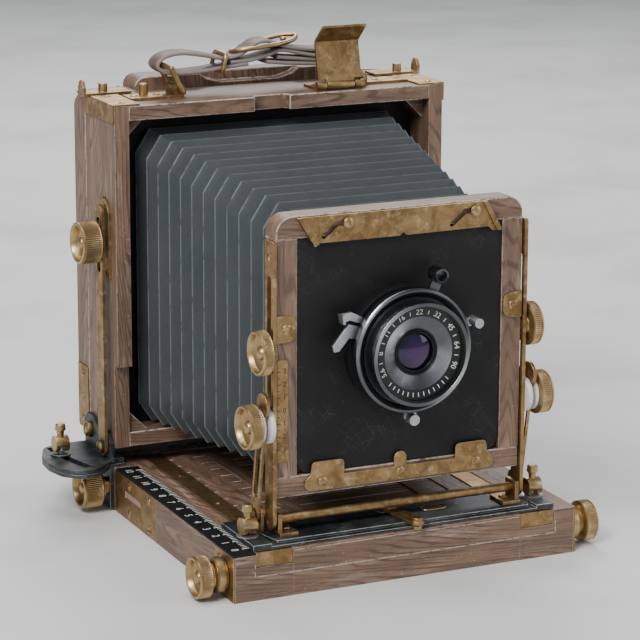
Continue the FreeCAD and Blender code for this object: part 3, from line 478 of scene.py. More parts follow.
def finish(name):
    """One of the camera's materials, made once."""
    makers = {
        "wood_y": (walnut, "walnut_bed", "front"),
        "wood_y_edge": (walnut, "walnut_bed_edge", "front", 0.85),
        "wood_x": (walnut, "walnut_cross", "X", 0.0, 0.31),
        "wood_x_edge": (walnut, "walnut_cross_edge", "X", 0.9, 0.31),
        "wood_z": (walnut, "walnut_upright", "Z", 0.0, 0.17),
        "wood_z_edge": (walnut, "walnut_upright_edge", "Z", 0.9, 0.17),
        "brass": (aged_brass, "aged_brass"),
        "brass_edge": (aged_brass, "aged_brass_edge", 0.0, 0.55),
        "knob_brass": (aged_brass, "knob_brass", 0.75),
        "plate_brass": (aged_brass, "plate_brass", 0.0, 0.0, 0.8),
        "plate_brass_edge": (aged_brass, "plate_brass_edge", 0.0, 0.6),
        "enamel": (black_plate, "black_enamel"),
        "enamel_edge": (black_plate, "black_enamel_edge", 0.9),
        "chrome": (satin_metal, "satin_chrome", tuple(colours().chrome), 0.34),
        "ring_chrome": (turned_metal, "ring_chrome", [(0.0, 28.1)]),
        "steel": (satin_metal, "shaft_steel", (0.42, 0.42, 0.43), 0.3),
        "lens_metal": (turned_metal, "cell_metal", [(17.4, 22.0), (0.0, 10.7)], span("speed_ring")[1][1]),
        "board": (matte_black, "board_black", 0.0075, 0.50),
        "shutter": (turned_metal, "shutter_metal", [(0.0, 29.4), (33.0, 37.2)]),
        "gloss_black": (matte_black, "gloss_black", 0.006, 0.25, 1200.0),
        "scale": (matte_black, "scale_black", 0.006, 0.42),
        "cloth": (bellows_cloth, "bellows_cloth"),
        "leather": (strap_leather, "strap_leather"),
        "glass": (coated_glass, "coated_glass"),
        "frosted": (frosted_glass, "frosted_glass"),
        "nylon": (plain_finish, "white_nylon", (0.78, 0.77, 0.74), 0.38),
        "label": (plain_finish, "blank_label", (0.330, 0.215, 0.170), 0.6),
        "white_mark": (plain_finish, "white_marking", (0.75, 0.75, 0.72), 0.5),
        "dark_mark": (plain_finish, "engraved_marking", (0.030, 0.022, 0.015), 0.6),
    }
    if name not in FINISHES:
        maker, *values = makers[name]
        FINISHES[name] = maker(*values)
    return FINISHES[name]


# ---------------------------------------------------------------- mesh making

def new_piece(name, points, faces, finish_name, body, slot, smooth=True, uv=None, ridge=None):
    """A piece from arrays of points and faces.

    uv is one pair for each corner of each face, and ridge is one value for each point.
    """
    mesh = bpy.data.meshes.new(name)
    mesh.from_pydata(np.asarray(points).tolist(), [], [list(map(int, face)) for face in faces])
    if uv is not None:
        layer = mesh.uv_layers.new(name="cloth")
        layer.data.foreach_set("uv", np.asarray(uv, dtype=np.float32).ravel())
    if ridge is not None:
        mesh.attributes.new("ridge", "FLOAT", "POINT").data.foreach_set("value", ridge.astype(np.float32))
    mesh.polygons.foreach_set("use_smooth", np.full(len(mesh.polygons), smooth))
    mesh.validate()
    mesh.update()
    piece = bpy.data.objects.new(name, mesh)
    bpy.context.scene.collection.objects.link(piece)
    mesh.materials.append(finish(finish_name))
    if smooth:
        sharpen(piece)
    if body:
        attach(piece, body)
    return piece


def sharpen(piece, degrees=35.0):
    """Marks the edges that turn by more than an angle as sharp."""
    piece.data.set_sharp_from_angle(angle=math.radians(degrees))


def grid_faces(rows, columns, close_columns=False, flip=False):
    """Quads of a grid of points in row order; the last column may join the first."""
    across = np.arange(columns if close_columns else columns - 1)
    i, j = np.meshgrid(np.arange(rows - 1), across, indexing="ij")
    right = (j + 1) % columns
    below, above = i * columns, (i + 1) * columns
    quads = np.stack([below + j, below + right, above + right, above + j], -1).reshape(-1, 4)
    return quads[:, ::-1] if flip else quads


def joined(parts):
    """Several (points, faces) as one, with the faces' numbers moved on."""
    points, faces, start = [], [], 0
    for part_points, part_faces in parts:
        points.append(np.asarray(part_points, float).reshape(-1, 3))
        faces += [[int(v) + start for v in face] for face in part_faces]
        start += len(points[-1])
    return np.concatenate(points), faces


def smooth_path(points, steps):
    """Catmull-Rom curve through the points: each stretch blends its ends and their neighbours' slopes."""
    p = np.asarray(points, float)
    p = np.vstack([2 * p[0] - p[1], p, 2 * p[-1] - p[-2]])
    t = np.linspace(0, 1, steps, endpoint=False)[:, None]
    runs = []
    for a, b, c, d in zip(p[:-3], p[1:-2], p[2:-1], p[3:]):
        square, cube = 2 * a - 5 * b + 4 * c - d, 3 * b - a - 3 * c + d
        runs.append(0.5 * (2 * b + (c - a) * t + square * t**2 + cube * t**3))
    return np.vstack(runs + [p[-2][None]])


def square_to(axis):
    """Two directions square to an axis and to each other."""
    side = np.cross(axis, Z_AXIS if abs(axis[2]) < 0.9 else X_AXIS)
    side /= np.linalg.norm(side)
    return side, np.cross(axis, side)


def turned_shape(outline, origin, axis, columns=64, ripple=None):
    """An outline of (distance, radius) turned about an axis; ripple(angle, row) changes the radius."""
    outline = np.asarray(outline, float)
    side, other = square_to(axis)
    angle = np.arange(columns) * TAU / columns
    radius = np.repeat(outline[:, 1:2], columns, axis=1)
    if ripple is not None:
        radius = radius + ripple(angle[None, :], np.arange(len(outline))[:, None])
    rim = np.cos(angle)[:, None] * side + np.sin(angle)[:, None] * other
    points = np.asarray(origin) + outline[:, :1, None] * axis + radius[:, :, None] * rim[None]
    points = points.reshape(-1, 3)
    faces = [list(quad) for quad in grid_faces(len(outline), columns, True)]
    ends = [list(range(columns))[::-1], list(range(len(points) - columns, len(points)))]
    return points, faces + ends


def turned_loop(outline, origin, axis, columns):
    """A closed outline of (distance, radius) turned about an axis, with no end caps."""
    points, faces = turned_shape(list(outline) + [outline[0]], origin, axis, columns)
    return points, faces[:-2]


def carried(path, profile, across, closed=False):
    """A closed profile of (sideways, outwards) carried along a path.

    Sideways stays as near to the direction across as the path lets it.
    """
    path, profile = np.asarray(path, float), np.asarray(profile, float)
    if closed:
        tangent = np.roll(path, -1, axis=0) - np.roll(path, 1, axis=0)
    else:
        tangent = np.gradient(path, axis=0)
    tangent /= np.linalg.norm(tangent, axis=1)[:, None]
    side = across - (tangent @ across)[:, None] * tangent
    side /= np.linalg.norm(side, axis=1)[:, None]
    out = np.cross(tangent, side)
    points = path[:, None] + profile[None, :, :1] * side[:, None] + profile[None, :, 1:] * out[:, None]
    rows, columns = points.shape[:2]
    faces = [list(quad) for quad in grid_faces(rows, columns, True, flip=True)]
    last = (rows - 1) * columns
    if closed:
        for j in range(columns):
            following = (j + 1) % columns
            faces.append([last + j, j, following, last + following])
    else:
        faces += [list(range(columns)), list(range(last, last + columns))[::-1]]
    return points.reshape(-1, 3), faces


def circle(columns):
    """Directions round a circle, as rows of (cosine, sine)."""
    angle = np.arange(columns) * TAU / columns
    return np.stack([np.cos(angle), np.sin(angle)], -1)


def soft_rectangle(width, height, corner, steps=4):
    """Rectangle with round corners, counter-clockwise, as (x, y) points."""
    points = []
    for sx, sy, start in ((1, 1, 0.0), (-1, 1, 0.25), (-1, -1, 0.5), (1, -1, 0.75)):
        angle = TAU * (start + np.linspace(0, 0.25, steps + 1))
        centre = np.array([sx * (width / 2 - corner), sy * (height / 2 - corner)])
        points.append(centre + corner * np.stack([np.cos(angle), np.sin(angle)], -1))
    return np.vstack(points)


def slab(outline, origin, across, up, thick, bevel=0.15 * MM):
    """A flat plate: its outline in the plane of across and up, thickened outwards with a bevelled rim."""
    across, up = np.asarray(across, float), np.asarray(up, float)
    out = np.cross(across, up)
    middle = outline.mean(axis=0)
    reach = np.abs(outline - middle).max(axis=0)
    inner = middle + (outline - middle) * (1 - bevel / reach)
    layers = []
    for ring, height in ((outline, 0.0), (outline, thick - bevel), (inner, thick)):
        layers.append(np.asarray(origin) + ring[:, :1] * across + ring[:, 1:] * up + height * out)
    n = len(outline)
    faces = [list(quad) for quad in grid_faces(3, n, True)]
    return np.concatenate(layers), faces + [list(range(n))[::-1], list(range(2 * n, 3 * n))]


def screw(centre, normal, radius, turn):
    """Domed slotted screw head.

    Columns cross the head at fixed distances from the slot and rows run along each column's chord; the
    height is a shallow dome, and falls to a flat floor between the two slot columns.
    """
    slot, tall, floor, foot = 0.16, 0.42, 0.06, -0.02
    s = np.array([-1, -0.93, -0.75, -0.45, -slot, -slot, slot, slot, 0.45, 0.75, 0.93, 1.0])
    t = np.linspace(-1, 1, 9)
    deep = np.zeros((len(s), 1))
    deep[5:7] = 1.0
    x = np.repeat(s[:, None], len(t), 1)
    y = np.sqrt(np.maximum(1 - x**2, 0)) * t[None]
    bulge = tall * np.sqrt(np.maximum(1 - 0.92 * (x**2 + y**2), 0))
    dome = bulge * (1 - deep) + floor * deep
    side, other = square_to(normal)
    a = math.cos(turn) * side + math.sin(turn) * other
    b = -math.sin(turn) * side + math.cos(turn) * other
    flat = x[..., None] * a + y[..., None] * b
    points = []
    for height in (dome[..., None], foot):
        points.append((np.asarray(centre) + radius * (flat + height * normal)).reshape(-1, 3))
    rows, columns = x.shape
    count = rows * columns
    faces = [list(quad) for quad in grid_faces(rows, columns, flip=True)]
    faces += [list(quad + count) for quad in grid_faces(rows, columns)]
    edge = [(i, 0) for i in range(rows)] + [(rows - 1, j) for j in range(1, columns)]
    edge += [(i, columns - 1) for i in range(rows - 2, -1, -1)] + [(0, j) for j in range(columns - 2, 0, -1)]
    index = [i * columns + j for i, j in edge]
    for first, second in zip(index, index[1:] + index[:1]):
        faces.append([first, second, second + count, first + count])
    return np.concatenate(points), faces


def screws(name, heads, body, finish_name="knob_brass"):
    """A group of screw heads on one body, each turned a little more than the one before it.

    Each head is (centre, normal, radius), in millimetres.
    """
    turn = 0.7
    parts = [screw(np.array(centre) * MM, normal, radius * MM, turn * index)
             for index, (centre, normal, radius) in enumerate(heads)]
    return clean(new_piece(name, *joined(parts), finish_name, body, "brass"))


def bed_front():
    """The front face of the bed, in millimetres."""
    return span("bed_frame")[0][1] / MM


def flank_heads(x, places, radius, sides=(-1, 1)):
    """Screw heads on the flanks, at (distance behind the bed's front, height) places."""
    return [((side * x, bed_front() + u, z), side * X_AXIS, radius) for side in sides for u, z in places]


def top_heads(z, places, radius, sides=(-1, 1)):
    """Screw heads that face up, at (distance from the middle, distance behind the bed's front) places."""
    return [((side * x, bed_front() + u, z), Z_AXIS, radius) for side in sides for x, u in places]


def front_heads(u, places, radius):
    """Screw heads that face forwards, at (x, height) places."""
    return [((x, bed_front() + u, z), -Y_AXIS, radius) for x, z in places]


def clean(piece):
    """Merges doubled points and turns every face outwards."""
    work = bmesh.new()
    work.from_mesh(piece.data)
    bmesh.ops.remove_doubles(work, verts=work.verts, dist=TOUCHING)
    bmesh.ops.recalc_face_normals(work, faces=work.faces)
    work.to_mesh(piece.data)
    work.free()
    sharpen(piece)
    return piece


# ---------------------------------------------------------------- CAD nodes

WOOD_PIECES = {
    "wood_y": ("bed_frame",),
    "wood_x": ("bed_panel", "lens_frame_rails", "rear_box_top", "rear_box_sill"),
    "wood_z": ("lens_frame_stiles", "rear_box_sides", "back_frame", "ground_glass_frame"),
}
METAL_PIECES = {
    "brass": ("tripod_plate", "foot_brackets", "swing_lock_lever", "uprights", "tie_rod", "front_struts",
              "rise_blocks", "lens_fittings", "lock_plate", "rear_struts", "rear_box_fittings", "latch_flap",
              "ring_left", "ring_right", "back_springs", "slide_lock_left", "slide_lock_right"),
    "plate_brass": ("bed_side_plates", "focus_rails"),
    "knob_brass": ("front_cam_left", "front_cam_right", "rear_cam_left", "rear_cam_right"),
    "enamel": ("carriage_plate", "front_swing_plate", "rear_carriage_plate", "rear_swing_plate"),
    "board": ("bellows_rear_frame", "lens_board"),
    "chrome": ("aperture_lever", "cocking_lever", "release_lever", "preview_lever"),
    "scale": ("focus_scale",), "nylon": ("strut_washers",), "shutter": ("shutter_body",),
    "ring_chrome": ("speed_ring",), "lens_metal": ("lens_cells",), "glass": ("lens_glass",),
    "steel": ("focus_shaft",), "frosted": ("ground_glass",),
}
EDGES = {"wood_y": "wood_y_edge", "wood_x": "wood_x_edge", "wood_z": "wood_z_edge", "brass": "brass_edge",
         "plate_brass": "plate_brass_edge", "enamel": "enamel_edge", "knob_brass": "brass_edge"}


def dress(pieces, edge):
    """Gives CAD nodes their finishes, and rounds their edges with modifiers that show a rubbed finish."""
    for finish_name, nodes in pieces.items():
        for node in nodes:
            piece = NODES[node]
            piece.data.materials.clear()
            piece.data.materials.append(finish(finish_name))
            weld = piece.modifiers.new("weld", "WELD")
            weld.merge_threshold = TOUCHING
            flat = piece.modifiers.new("flat", "DECIMATE")
            flat.decimate_type = "DISSOLVE"
            flat.angle_limit = math.radians(0.6)
            bevel = piece.modifiers.new("edge", "BEVEL")
            bevel.width, bevel.segments = edge, 2
            bevel.limit_method, bevel.angle_limit = "ANGLE", math.radians(38)
            bevel.harden_normals = True
            if finish_name in EDGES:
                piece.data.materials.append(finish(EDGES[finish_name]))
                bevel.material = 1


# ---------------------------------------------------------------- knobs

def knob_outline(deep, radius):
    """Cup-faced knob from its back to the boss in its dish, as (distance, radius) points in millimetres."""
    back = [(0, 0), (0, radius - 1.4), (0.3, radius - 0.7)]
    barrel = [(0.9, radius), (1.3, radius), (deep * 0.5, radius), (deep - 1.5, radius)]
    groove = [(deep - 1.2, radius - 0.5), (deep - 0.9, radius - 0.1)]
    lip = [(deep - 0.4, radius - 0.15), (deep, radius - 0.6), (deep, radius - 1.3)]
    dish = [(deep - 0.5, radius - 1.8), (deep * 0.62, radius - 2.5), (deep * 0.50, radius - 4.2)]
    dish += [(deep * 0.45, 4.2), (deep * 0.48, 3.3)]
    boss = [(deep - 2.2, 2.9), (deep - 1.5, 2.5), (deep - 1.0, 1.5), (deep - 0.85, 0.0)]
    return back + barrel + groove + lip + dish + boss


def knurled(angle, row):
    """Grooves on the barrel rows: the radius dips with the cosine of the angle, cut off to flat lands."""
    first_barrel_row, last_barrel_row = 4, 6
    barrel = (row >= first_barrel_row) & (row <= last_barrel_row)
    dip = np.clip(np.cos(angle * sizes().knurls) * 1.4, -1, 1) * 0.5 - 0.5
    return np.where(barrel, dip * sizes().knurl_depth, 0.0)


def knob(name, node, body, side, deep, radius, stem):
    """One knurled knob in place of a CAD knob, in millimetres; stem lists its (distance, radius) steps."""
    low, high, middle = span(node)
    face = low[0] if side < 0 else high[0]
    centre = np.array([side * (abs(face) - deep * MM), middle[1], middle[2]])
    axis = side * X_AXIS
    parts = [turned_shape(in_metres(knob_outline(deep, radius)), centre, axis, sizes().knurls * 4, knurled),
             turned_shape(in_metres([(-back, reach) for back, reach in stem]), centre, axis, 48)]
    piece = clean(new_piece(name, *joined(parts), "knob_brass", body, "knob_brass"))
    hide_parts(node)


# ---------------------------------------------------------------- bellows

BELLOWS_START = "rear_box"
BELLOWS_CHAIN = [("rear_swing", 4), ("rear_carriage", 2), ("base", 6), ("rails", 3), ("front_carriage", 6),
                 ("front_swing", 1), ("uprights", 2), ("rise_blocks", 1), ("lens_frame", 2)]


def fold_wave(phase):
    """0 in a valley, where the count is whole, and 1 on a ridge; straight between, and rounded at both."""
    roundness = 0.985
    return 0.5 - 0.5 * np.arcsin(roundness * np.cos(TAU * phase)) / math.asin(roundness)


def bellows_rings(phase):
    """Outline points of the folded cloth at places along it, counted in pleats from the rear.

    Each outline is an eight-sided ring whose half width and height taper from the rear to the front. A
    ridge stands out by the fold depth and a valley is drawn in by it; a ridge has smaller corner cuts.
    """
    low, high = span("bellows")[:2]
    rear_half, front_half = 74.0 * MM, 52.0 * MM
    front_low, front_high = 47.0 * MM, 173.0 * MM
    share = phase * 2 / sizes().half_pleats
    ridge = fold_wave(phase)
    drawn_in = sizes().fold_depth * (1 - ridge)
    half = rear_half + (front_half - rear_half) * share - drawn_in
    bottom = low[2] + (front_low - low[2]) * share + drawn_in
    top = high[2] + (front_high - high[2]) * share - drawn_in
    cut_x, cut_z = (9.0 - 1.5 * ridge) * MM, (13.0 - 1.5 * ridge) * MM
    y = high[1] + (low[1] - high[1]) * share
    corners = [(-half, bottom + cut_z), (-half, top - cut_z), (-half + cut_x, top), (half - cut_x, top),
               (half, top - cut_z), (half, bottom + cut_z), (half - cut_x, bottom), (-half + cut_x, bottom)]
    rings = []
    for (x0, z0), (x1, z1), count in zip(corners, corners[1:] + corners[:1], (16, 3) * 4):
        for s in np.linspace(0, 1, count, endpoint=False):
            rings.append(np.stack([x0 + (x1 - x0) * s, y, z0 + (z1 - z0) * s], -1))
    return np.stack(rings, axis=1), ridge


def bellows_segment(index, first, last):
    """One stretch of the bellows, from one half pleat to another."""
    rows_per_half, waviness, cloth_per_half = 6, 0.18 * MM, 6.9 * MM
    phase = np.linspace(first, last, (last - first) * rows_per_half + 1) / 2
    rings, ridge = bellows_rings(phase)
    rows, columns = rings.shape[:2]
    wave = np.random.default_rng(7).normal(size=(columns,))
    wave = np.convolve(np.r_[wave, wave, wave], np.ones(7) / 7, "same")[columns:2 * columns] * waviness
    rings[:, :, 1] += wave[None, :] * np.sin(np.pi * phase * 2 / sizes().half_pleats)[:, None]
    pull = rings - rings.mean(axis=1, keepdims=True)
    pull[..., 1] = 0
    inner = rings - pull / np.linalg.norm(pull, axis=-1, keepdims=True) * sizes().cloth_wall
    count = rows * columns
    skin = grid_faces(rows, columns, True)
    lining = grid_faces(rows, columns, True, flip=True) + count
    here = np.arange(columns)
    following = (here + 1) % columns
    near = np.stack([following, here, here + count, following + count], -1)
    far = np.stack([here, following, following + count, here + count], -1) + count - columns
    faces = np.concatenate([skin, lining, near, far])
    points = np.concatenate([rings.reshape(-1, 3), inner.reshape(-1, 3)])
    girth = np.linalg.norm(np.diff(rings[0], axis=0), axis=1).cumsum()
    length = phase * 2 * cloth_per_half
    flat = np.stack(np.broadcast_arrays(np.r_[0, girth][None], length[:, None]), -1).reshape(-1, 2)
    corner_uv = np.concatenate([flat, flat])[faces.reshape(-1)]
    values = np.repeat(ridge, columns)
    piece = new_piece(f"bellows_fold_{index}", points, faces, "cloth", None, "bellows_cloth", uv=corner_uv,
                      ridge=np.r_[values, values * 0])
    sharpen(piece, 24)
    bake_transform(piece)
    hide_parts("bellows")


# ---------------------------------------------------------------- small pieces

def oblong(name, centre, normal, size, finish_name, body, slot, corner=0.5, thick=0.4):
    """A thin plate with round corners, lying on a face; its size, corners and thickness in millimetres."""
    across = X_AXIS if abs(normal[0]) < 0.5 else Y_AXIS
    outline = soft_rectangle(size[0] * MM, size[1] * MM, corner * MM)
    shape = slab(outline, centre, across, np.cross(normal, across), thick * MM)
    new_piece(name, *shape, finish_name, body, slot)


def marks(name, strokes, normal, up, body, slot, finish_name):
    """Ruled marks on a face: (centre, length along up-cross-normal, width along up) each."""
    across = np.cross(up, normal)
    corners = np.array([[-0.5, -0.5], [0.5, -0.5], [0.5, 0.5], [-0.5, 0.5]]) * MM
    parts = [slab(corners * [long, wide], centre, across, up, 0.06 * MM, bevel=0.01 * MM)
             for centre, long, wide in strokes]
    new_piece(name, *joined(parts), finish_name, body, slot, smooth=False)


def numerals(name, entries, height, body, slot, finish_name):
    """Raised numbers: (text, centre, reading direction, direction of their tops) each."""
    parts = []
    for text, centre, run, rise in entries:
        curve = bpy.data.curves.new(name, "FONT")
        curve.body, curve.size, curve.extrude = text, height * MM, 0.04 * MM
        curve.align_x, curve.align_y, curve.resolution_u = "CENTER", "CENTER", 3
        holder = bpy.data.objects.new(name + "_text", curve)
        bpy.context.scene.collection.objects.link(holder)
        mesh = bpy.data.meshes.new_from_object(holder)
        local = np.zeros(len(mesh.vertices) * 3)
        mesh.vertices.foreach_get("co", local)
        turn = np.stack([run, rise, np.cross(run, rise)])
        parts.append((np.asarray(centre) + local.reshape(-1, 3) @ turn,
                      [list(face.vertices) for face in mesh.polygons]))
        bpy.data.objects.remove(holder)
        bpy.data.curves.remove(curve)
        bpy.data.meshes.remove(mesh)
    new_piece(name, *joined(parts), finish_name, body, slot, smooth=False)


STRAP_RUNS = {
    "strap_outer": [(-10, 221.6), (-22, 220.6), (-34, 219.4), (-46, 218.9), (-54.5, 219.8), (-58.8, 223.4),
                    (-55.0, 227.4), (-46, 228.9), (-34, 227.2), (-24, 225.2), (-15, 226.4), (-10, 229.2),
                    (-5, 232.0), (0, 232.6), (5, 231.0), (12, 228.9), (20, 227.4), (30, 226.4),
                    (40, 226.6), (46.2, 225.0), (48.2, 221.6), (45.0, 218.9), (36, 218.8), (24, 219.6),
                    (10, 220.8), (0, 222.0)],
    "strap_inner": [(-20, 222.9), (-8, 223.4), (2, 225.6), (8, 227.4), (16, 226.0), (26, 223.9), (35, 223.4),
                    (37.6, 222.2), (35, 221.2), (24, 221.9), (12, 223.2), (6, 224.0)],
}


def strap_band(name, run):
    """A flat strap: a softly rounded section carried along its run across the top of the camera."""
    wide, map_scale = sizes().strap_width, 20
    path = smooth_path(np.array(run) * MM, 8)
    sway = 0.5 * MM * np.sin(np.linspace(0, 9, len(path)))
    route = np.stack([path[:, 0], span("carry_strap")[2][1] + sway, path[:, 1]], -1)
    section = soft_rectangle(wide, sizes().strap_wall, 0.8 * MM, 3)
    points, faces = carried(route, section, Y_AXIS)
    length = np.r_[0, np.linalg.norm(np.diff(route, axis=0), axis=1).cumsum()] * map_scale
    side = section[:, 0] / (wide / 2)
    flat = np.stack(np.broadcast_arrays(side[None], length[:, None]), -1).reshape(-1, 2)
    corner_uv = flat[np.concatenate([np.asarray(face) for face in faces])]
    piece = new_piece(name, points, faces, "leather", "rear_box", "leather", uv=corner_uv)
    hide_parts("carry_strap")


def wire_loop(name, path, thick, body, slot="brass", finish_name="knob_brass", across=Z_AXIS):
    """A closed loop of round wire, thick being its radius."""
    clean(new_piece(name, *carried(path, circle(14) * thick, across, closed=True), finish_name, body, slot))


# ---------------------------------------------------------------- operators

class FinishWood(bpy.types.Operator):
    """Walnut on the wooden pieces, with rubbed, rounded edges"""

    bl_idname = "camera_finish.wood"
    bl_label = "Wood"

    def execute(self, context):
        dress(WOOD_PIECES, sizes().wood_edge)
        return {"FINISHED"}


class FinishMetal(bpy.types.Operator):
    """Brass, enamel, chrome and glass on the other carried-over pieces"""

    bl_idname = "camera_finish.metal"
    bl_label = "Metal and Glass"

    def execute(self, context):
        dress(METAL_PIECES, sizes().metal_edge)
        return {"FINISHED"}


class MakeKnobs(bpy.types.Operator):
    """Knurled, cup-faced knobs in place of the plain ones"""

    bl_idname = "camera_finish.knobs"
    bl_label = "Knobs"

    def execute(self, context):
        for side, word in ((-1, "left"), (1, "right")):
            for base, body, deep, stem in (
                    ("strut_knob", "strut_knob_", 6.9, [(0, 0), (0, 2.0), (7.9, 2.0), (7.9, 0)]),
                    ("rise_knob", "rise_knob_", 5.8, [(0, 0), (0, 2.0), (7.7, 2.0), (7.7, 0)]),
                    ("rear_strut_knob", "rear_knob_", 10.8,
                     [(-0.2, 0), (-0.2, 6.4), (0.3, 6.4), (0.3, 2.0), (10.9, 2.0), (10.9, 0)])):
                knob(f"{base}_knurled_{word}", f"{base}_{word}", body + word[0], side, deep, 10.5, stem)
            knob(f"focus_knob_knurled_{word}", "focus_knobs", "focus_drive", side, 7.0, 10.0, [
                (0, 0), (0, 6.6), (1.6, 6.6), (1.9, 7.6), (2.3, 8.2), (2.7, 7.8), (3.2, 8.4), (4.2, 8.5),
                (6.2, 8.5), (6.6, 8.1), (7.6, 8.0), (7.65, 0)])
        knob("rear_lock_knob_knurled", "rear_lock_knob", "rear_lock", -1, 11.0, 10.0, [
            (0, 0), (0, 6.0), (1.8, 6.0), (2.2, 4.6), (4.1, 4.6), (4.1, 2.0), (6.1, 2.0), (6.1, 0)])
        return {"FINISHED"}


class MakeBellows(bpy.types.Operator):
    """Folded bellows, in stretches of half pleats, one for each body in its chain"""

    bl_idname = "camera_finish.bellows"
    bl_label = "Bellows"

    def execute(self, context):
        at, before = 0, BELLOWS_START
        for index, (after, halves) in enumerate(BELLOWS_CHAIN):
            bellows_segment(index + 1, at, at + halves)
            at, before = at + halves, after
        return {"FINISHED"}


class MakeStrap(bpy.types.Operator):
    """Leather strap looped through its rings, with a keeper, an oval buckle and a stud"""

    bl_idname = "camera_finish.strap"
    bl_label = "Strap"

    def execute(self, context):
        y = span("carry_strap")[2][1]
        for name, run in STRAP_RUNS.items():
            strap_band(name, run)
        wire, tall = 1.15 * MM, 230.4 * MM
        box = soft_rectangle(15.2 * MM, 8.6 * MM, 2.0 * MM)
        keeper = np.stack([-24.0 * MM + box[:, 1] * 0.25, y + box[:, 0], 222.9 * MM + box[:, 1]], -1)
        wire_loop("strap_keeper", keeper, wire, "rear_box", across=X_AXIS)
        angle = np.arange(56) * TAU / 56
        cosine = np.cos(angle)
        reach = np.sign(cosine) * np.abs(cosine) ** np.where(cosine < 0, 0.55, 1.0)
        x = 0.8 * MM + 17.6 * MM * reach
        oval = np.stack([x, y + 7.6 * MM * np.sin(angle) * (1 - 0.18 * reach),
                         tall + 0.17 * x + 1.0 * MM * np.sin(2 * angle)], -1)
        wire_loop("strap_buckle", oval, wire, "rear_box")
        stud = [(0, 0), (0, 1.2), (1.2, 1.0), (1.6, 1.7), (2.3, 1.8), (2.9, 1.2), (3.1, 0)]
        shape = turned_shape(in_metres(stud), (11.5 * MM, y, tall), Z_AXIS, 20)
        clean(new_piece("strap_stud", *shape, "knob_brass", "rear_box", "brass"))
        return {"FINISHED"}


class MakeScrews(bpy.types.Operator):
    """Slotted screws on the plates, brackets and straps"""

    bl_idname = "camera_finish.screws"
    bl_label = "Screws"

    def execute(self, context):
        plates = [(16.5, 17.5), (105, 18.2), (105, 3.9), (131.5, 18.5), (131.5, 4.3)]
        screws("side_plate_screws", flank_heads(span("bed_side_plates")[1][0] / MM, plates, 2.2), "base")
        rail_top = span("focus_rails")[1][2] / MM - 0.2
        screws("rail_screws", top_heads(rail_top, [(65.0, 76.6), (65.0, 125.7)], 1.7), "rails", "plate_brass")
        fittings = [(-40.3, 49.6), (0, 49.6), (40.3, 49.6), (-58.6, 124.5), (58.6, 124.5)]
        screws("lens_frame_screws", front_heads(11.3 - 1.2, fittings, 2.3)
               + front_heads(8.3, [(-28.4, 171.8), (37.2, 171.8)], 2.4), "lens_frame")
        foot_top = span("carriage_plate")[1][2] / MM + 2.2
        screws("foot_screws", top_heads(foot_top, [(57.6, 14)], 2.4), "front_swing")
        screws("upright_screws", flank_heads(65.8, [(14, 158)], 1.9), "uprights")
        box_top = span("rear_box_top")[1][2] / MM
        heads = flank_heads(94.4, [(180, 36)], 3.6)
        for side in (-1, 1):
            heads += flank_heads(91.4, [(155, 123.5), (167, 123.5)], 1.5, (side,))
            heads += top_heads(box_top + 1.4, [(72.5, 164), (60.5, 164)], 1.7, (side,))
            heads += top_heads(box_top + 0.9, [(84, 150), (84, 170)], 1.6, (side,))
        heads += top_heads(box_top + 1.4, [(25, 160), (42, 160), (33.5, 163)], 1.5, (1,))
        screws("rear_box_screws", heads, "rear_box")
        screws("rear_strut_pin_heads", flank_heads(95.7, [(158, 33)], 3.0), "rear_swing")
        spring_face = span("back_springs")[0][1] / MM + 1.0
        screws("spring_screws", [((side * 81.2, spring_face, z), Y_AXIS, 1.6)
                                 for side in (-1, 1) for z in (100, 138)], "back")
        return {"FINISHED"}


class MakeScales(bpy.types.Operator):
    """Distance scale on the bed and height scale on the lens frame"""

    bl_idname = "camera_finish.scales"
    bl_label = "Scales"

    def execute(self, context):
        low, high = span("focus_scale")[:2]
        top, zero, step = high[2], 8.3 * MM, 11.2 * MM
        ticks, numbers = [], []
        for number in range(13):
            y = low[1] + zero + number * step
            ticks.append(((high[0] - 2.0 * MM, y, top), 3.4, 0.75))
            numbers.append((str(number), (low[0] + 4.2 * MM, y, top), -Y_AXIS, X_AXIS))
            for part in (1, 2, 3, 4):
                if number < 12:
                    ticks.append(((high[0] - 1.5 * MM, y + part * step / 5, top), 2.2, 0.62))
        marks("scale_ticks", ticks, Z_AXIS, Y_AXIS, "base", "scale_black", "white_mark")
        numerals("scale_numbers", numbers, 5.4, "base", "scale_black", "white_mark")
        stile_low = span("lens_frame_stiles")[0]
        plate_x, plate = stile_low[0] + 3.2 * MM, 0.35
        oblong("height_scale", (plate_x, stile_low[1], 85.5 * MM), -Y_AXIS, (5.8, 49), "brass", "lens_frame",
               "brass", thick=plate)
        face = stile_low[1] - plate * MM
        ticks, numbers = [], []
        for index in range(13):
            z = (104.5 - index * 3.1) * MM
            whole = index % 2 == 0
            inset, long = (1.9, 1.7) if whole else (2.2, 1.1)
            ticks.append(((plate_x - inset * MM, face, z), long, 0.35))
            if whole:
                numbers.append((str(abs(3 - index // 2)), (plate_x + 0.9 * MM, face, z), X_AXIS, Z_AXIS))
        marks("height_ticks", ticks, -Y_AXIS, Z_AXIS, "lens_frame", "brass", "dark_mark")
        numerals("height_numbers", numbers, 3.6, "lens_frame", "brass", "dark_mark")
        return {"FINISHED"}


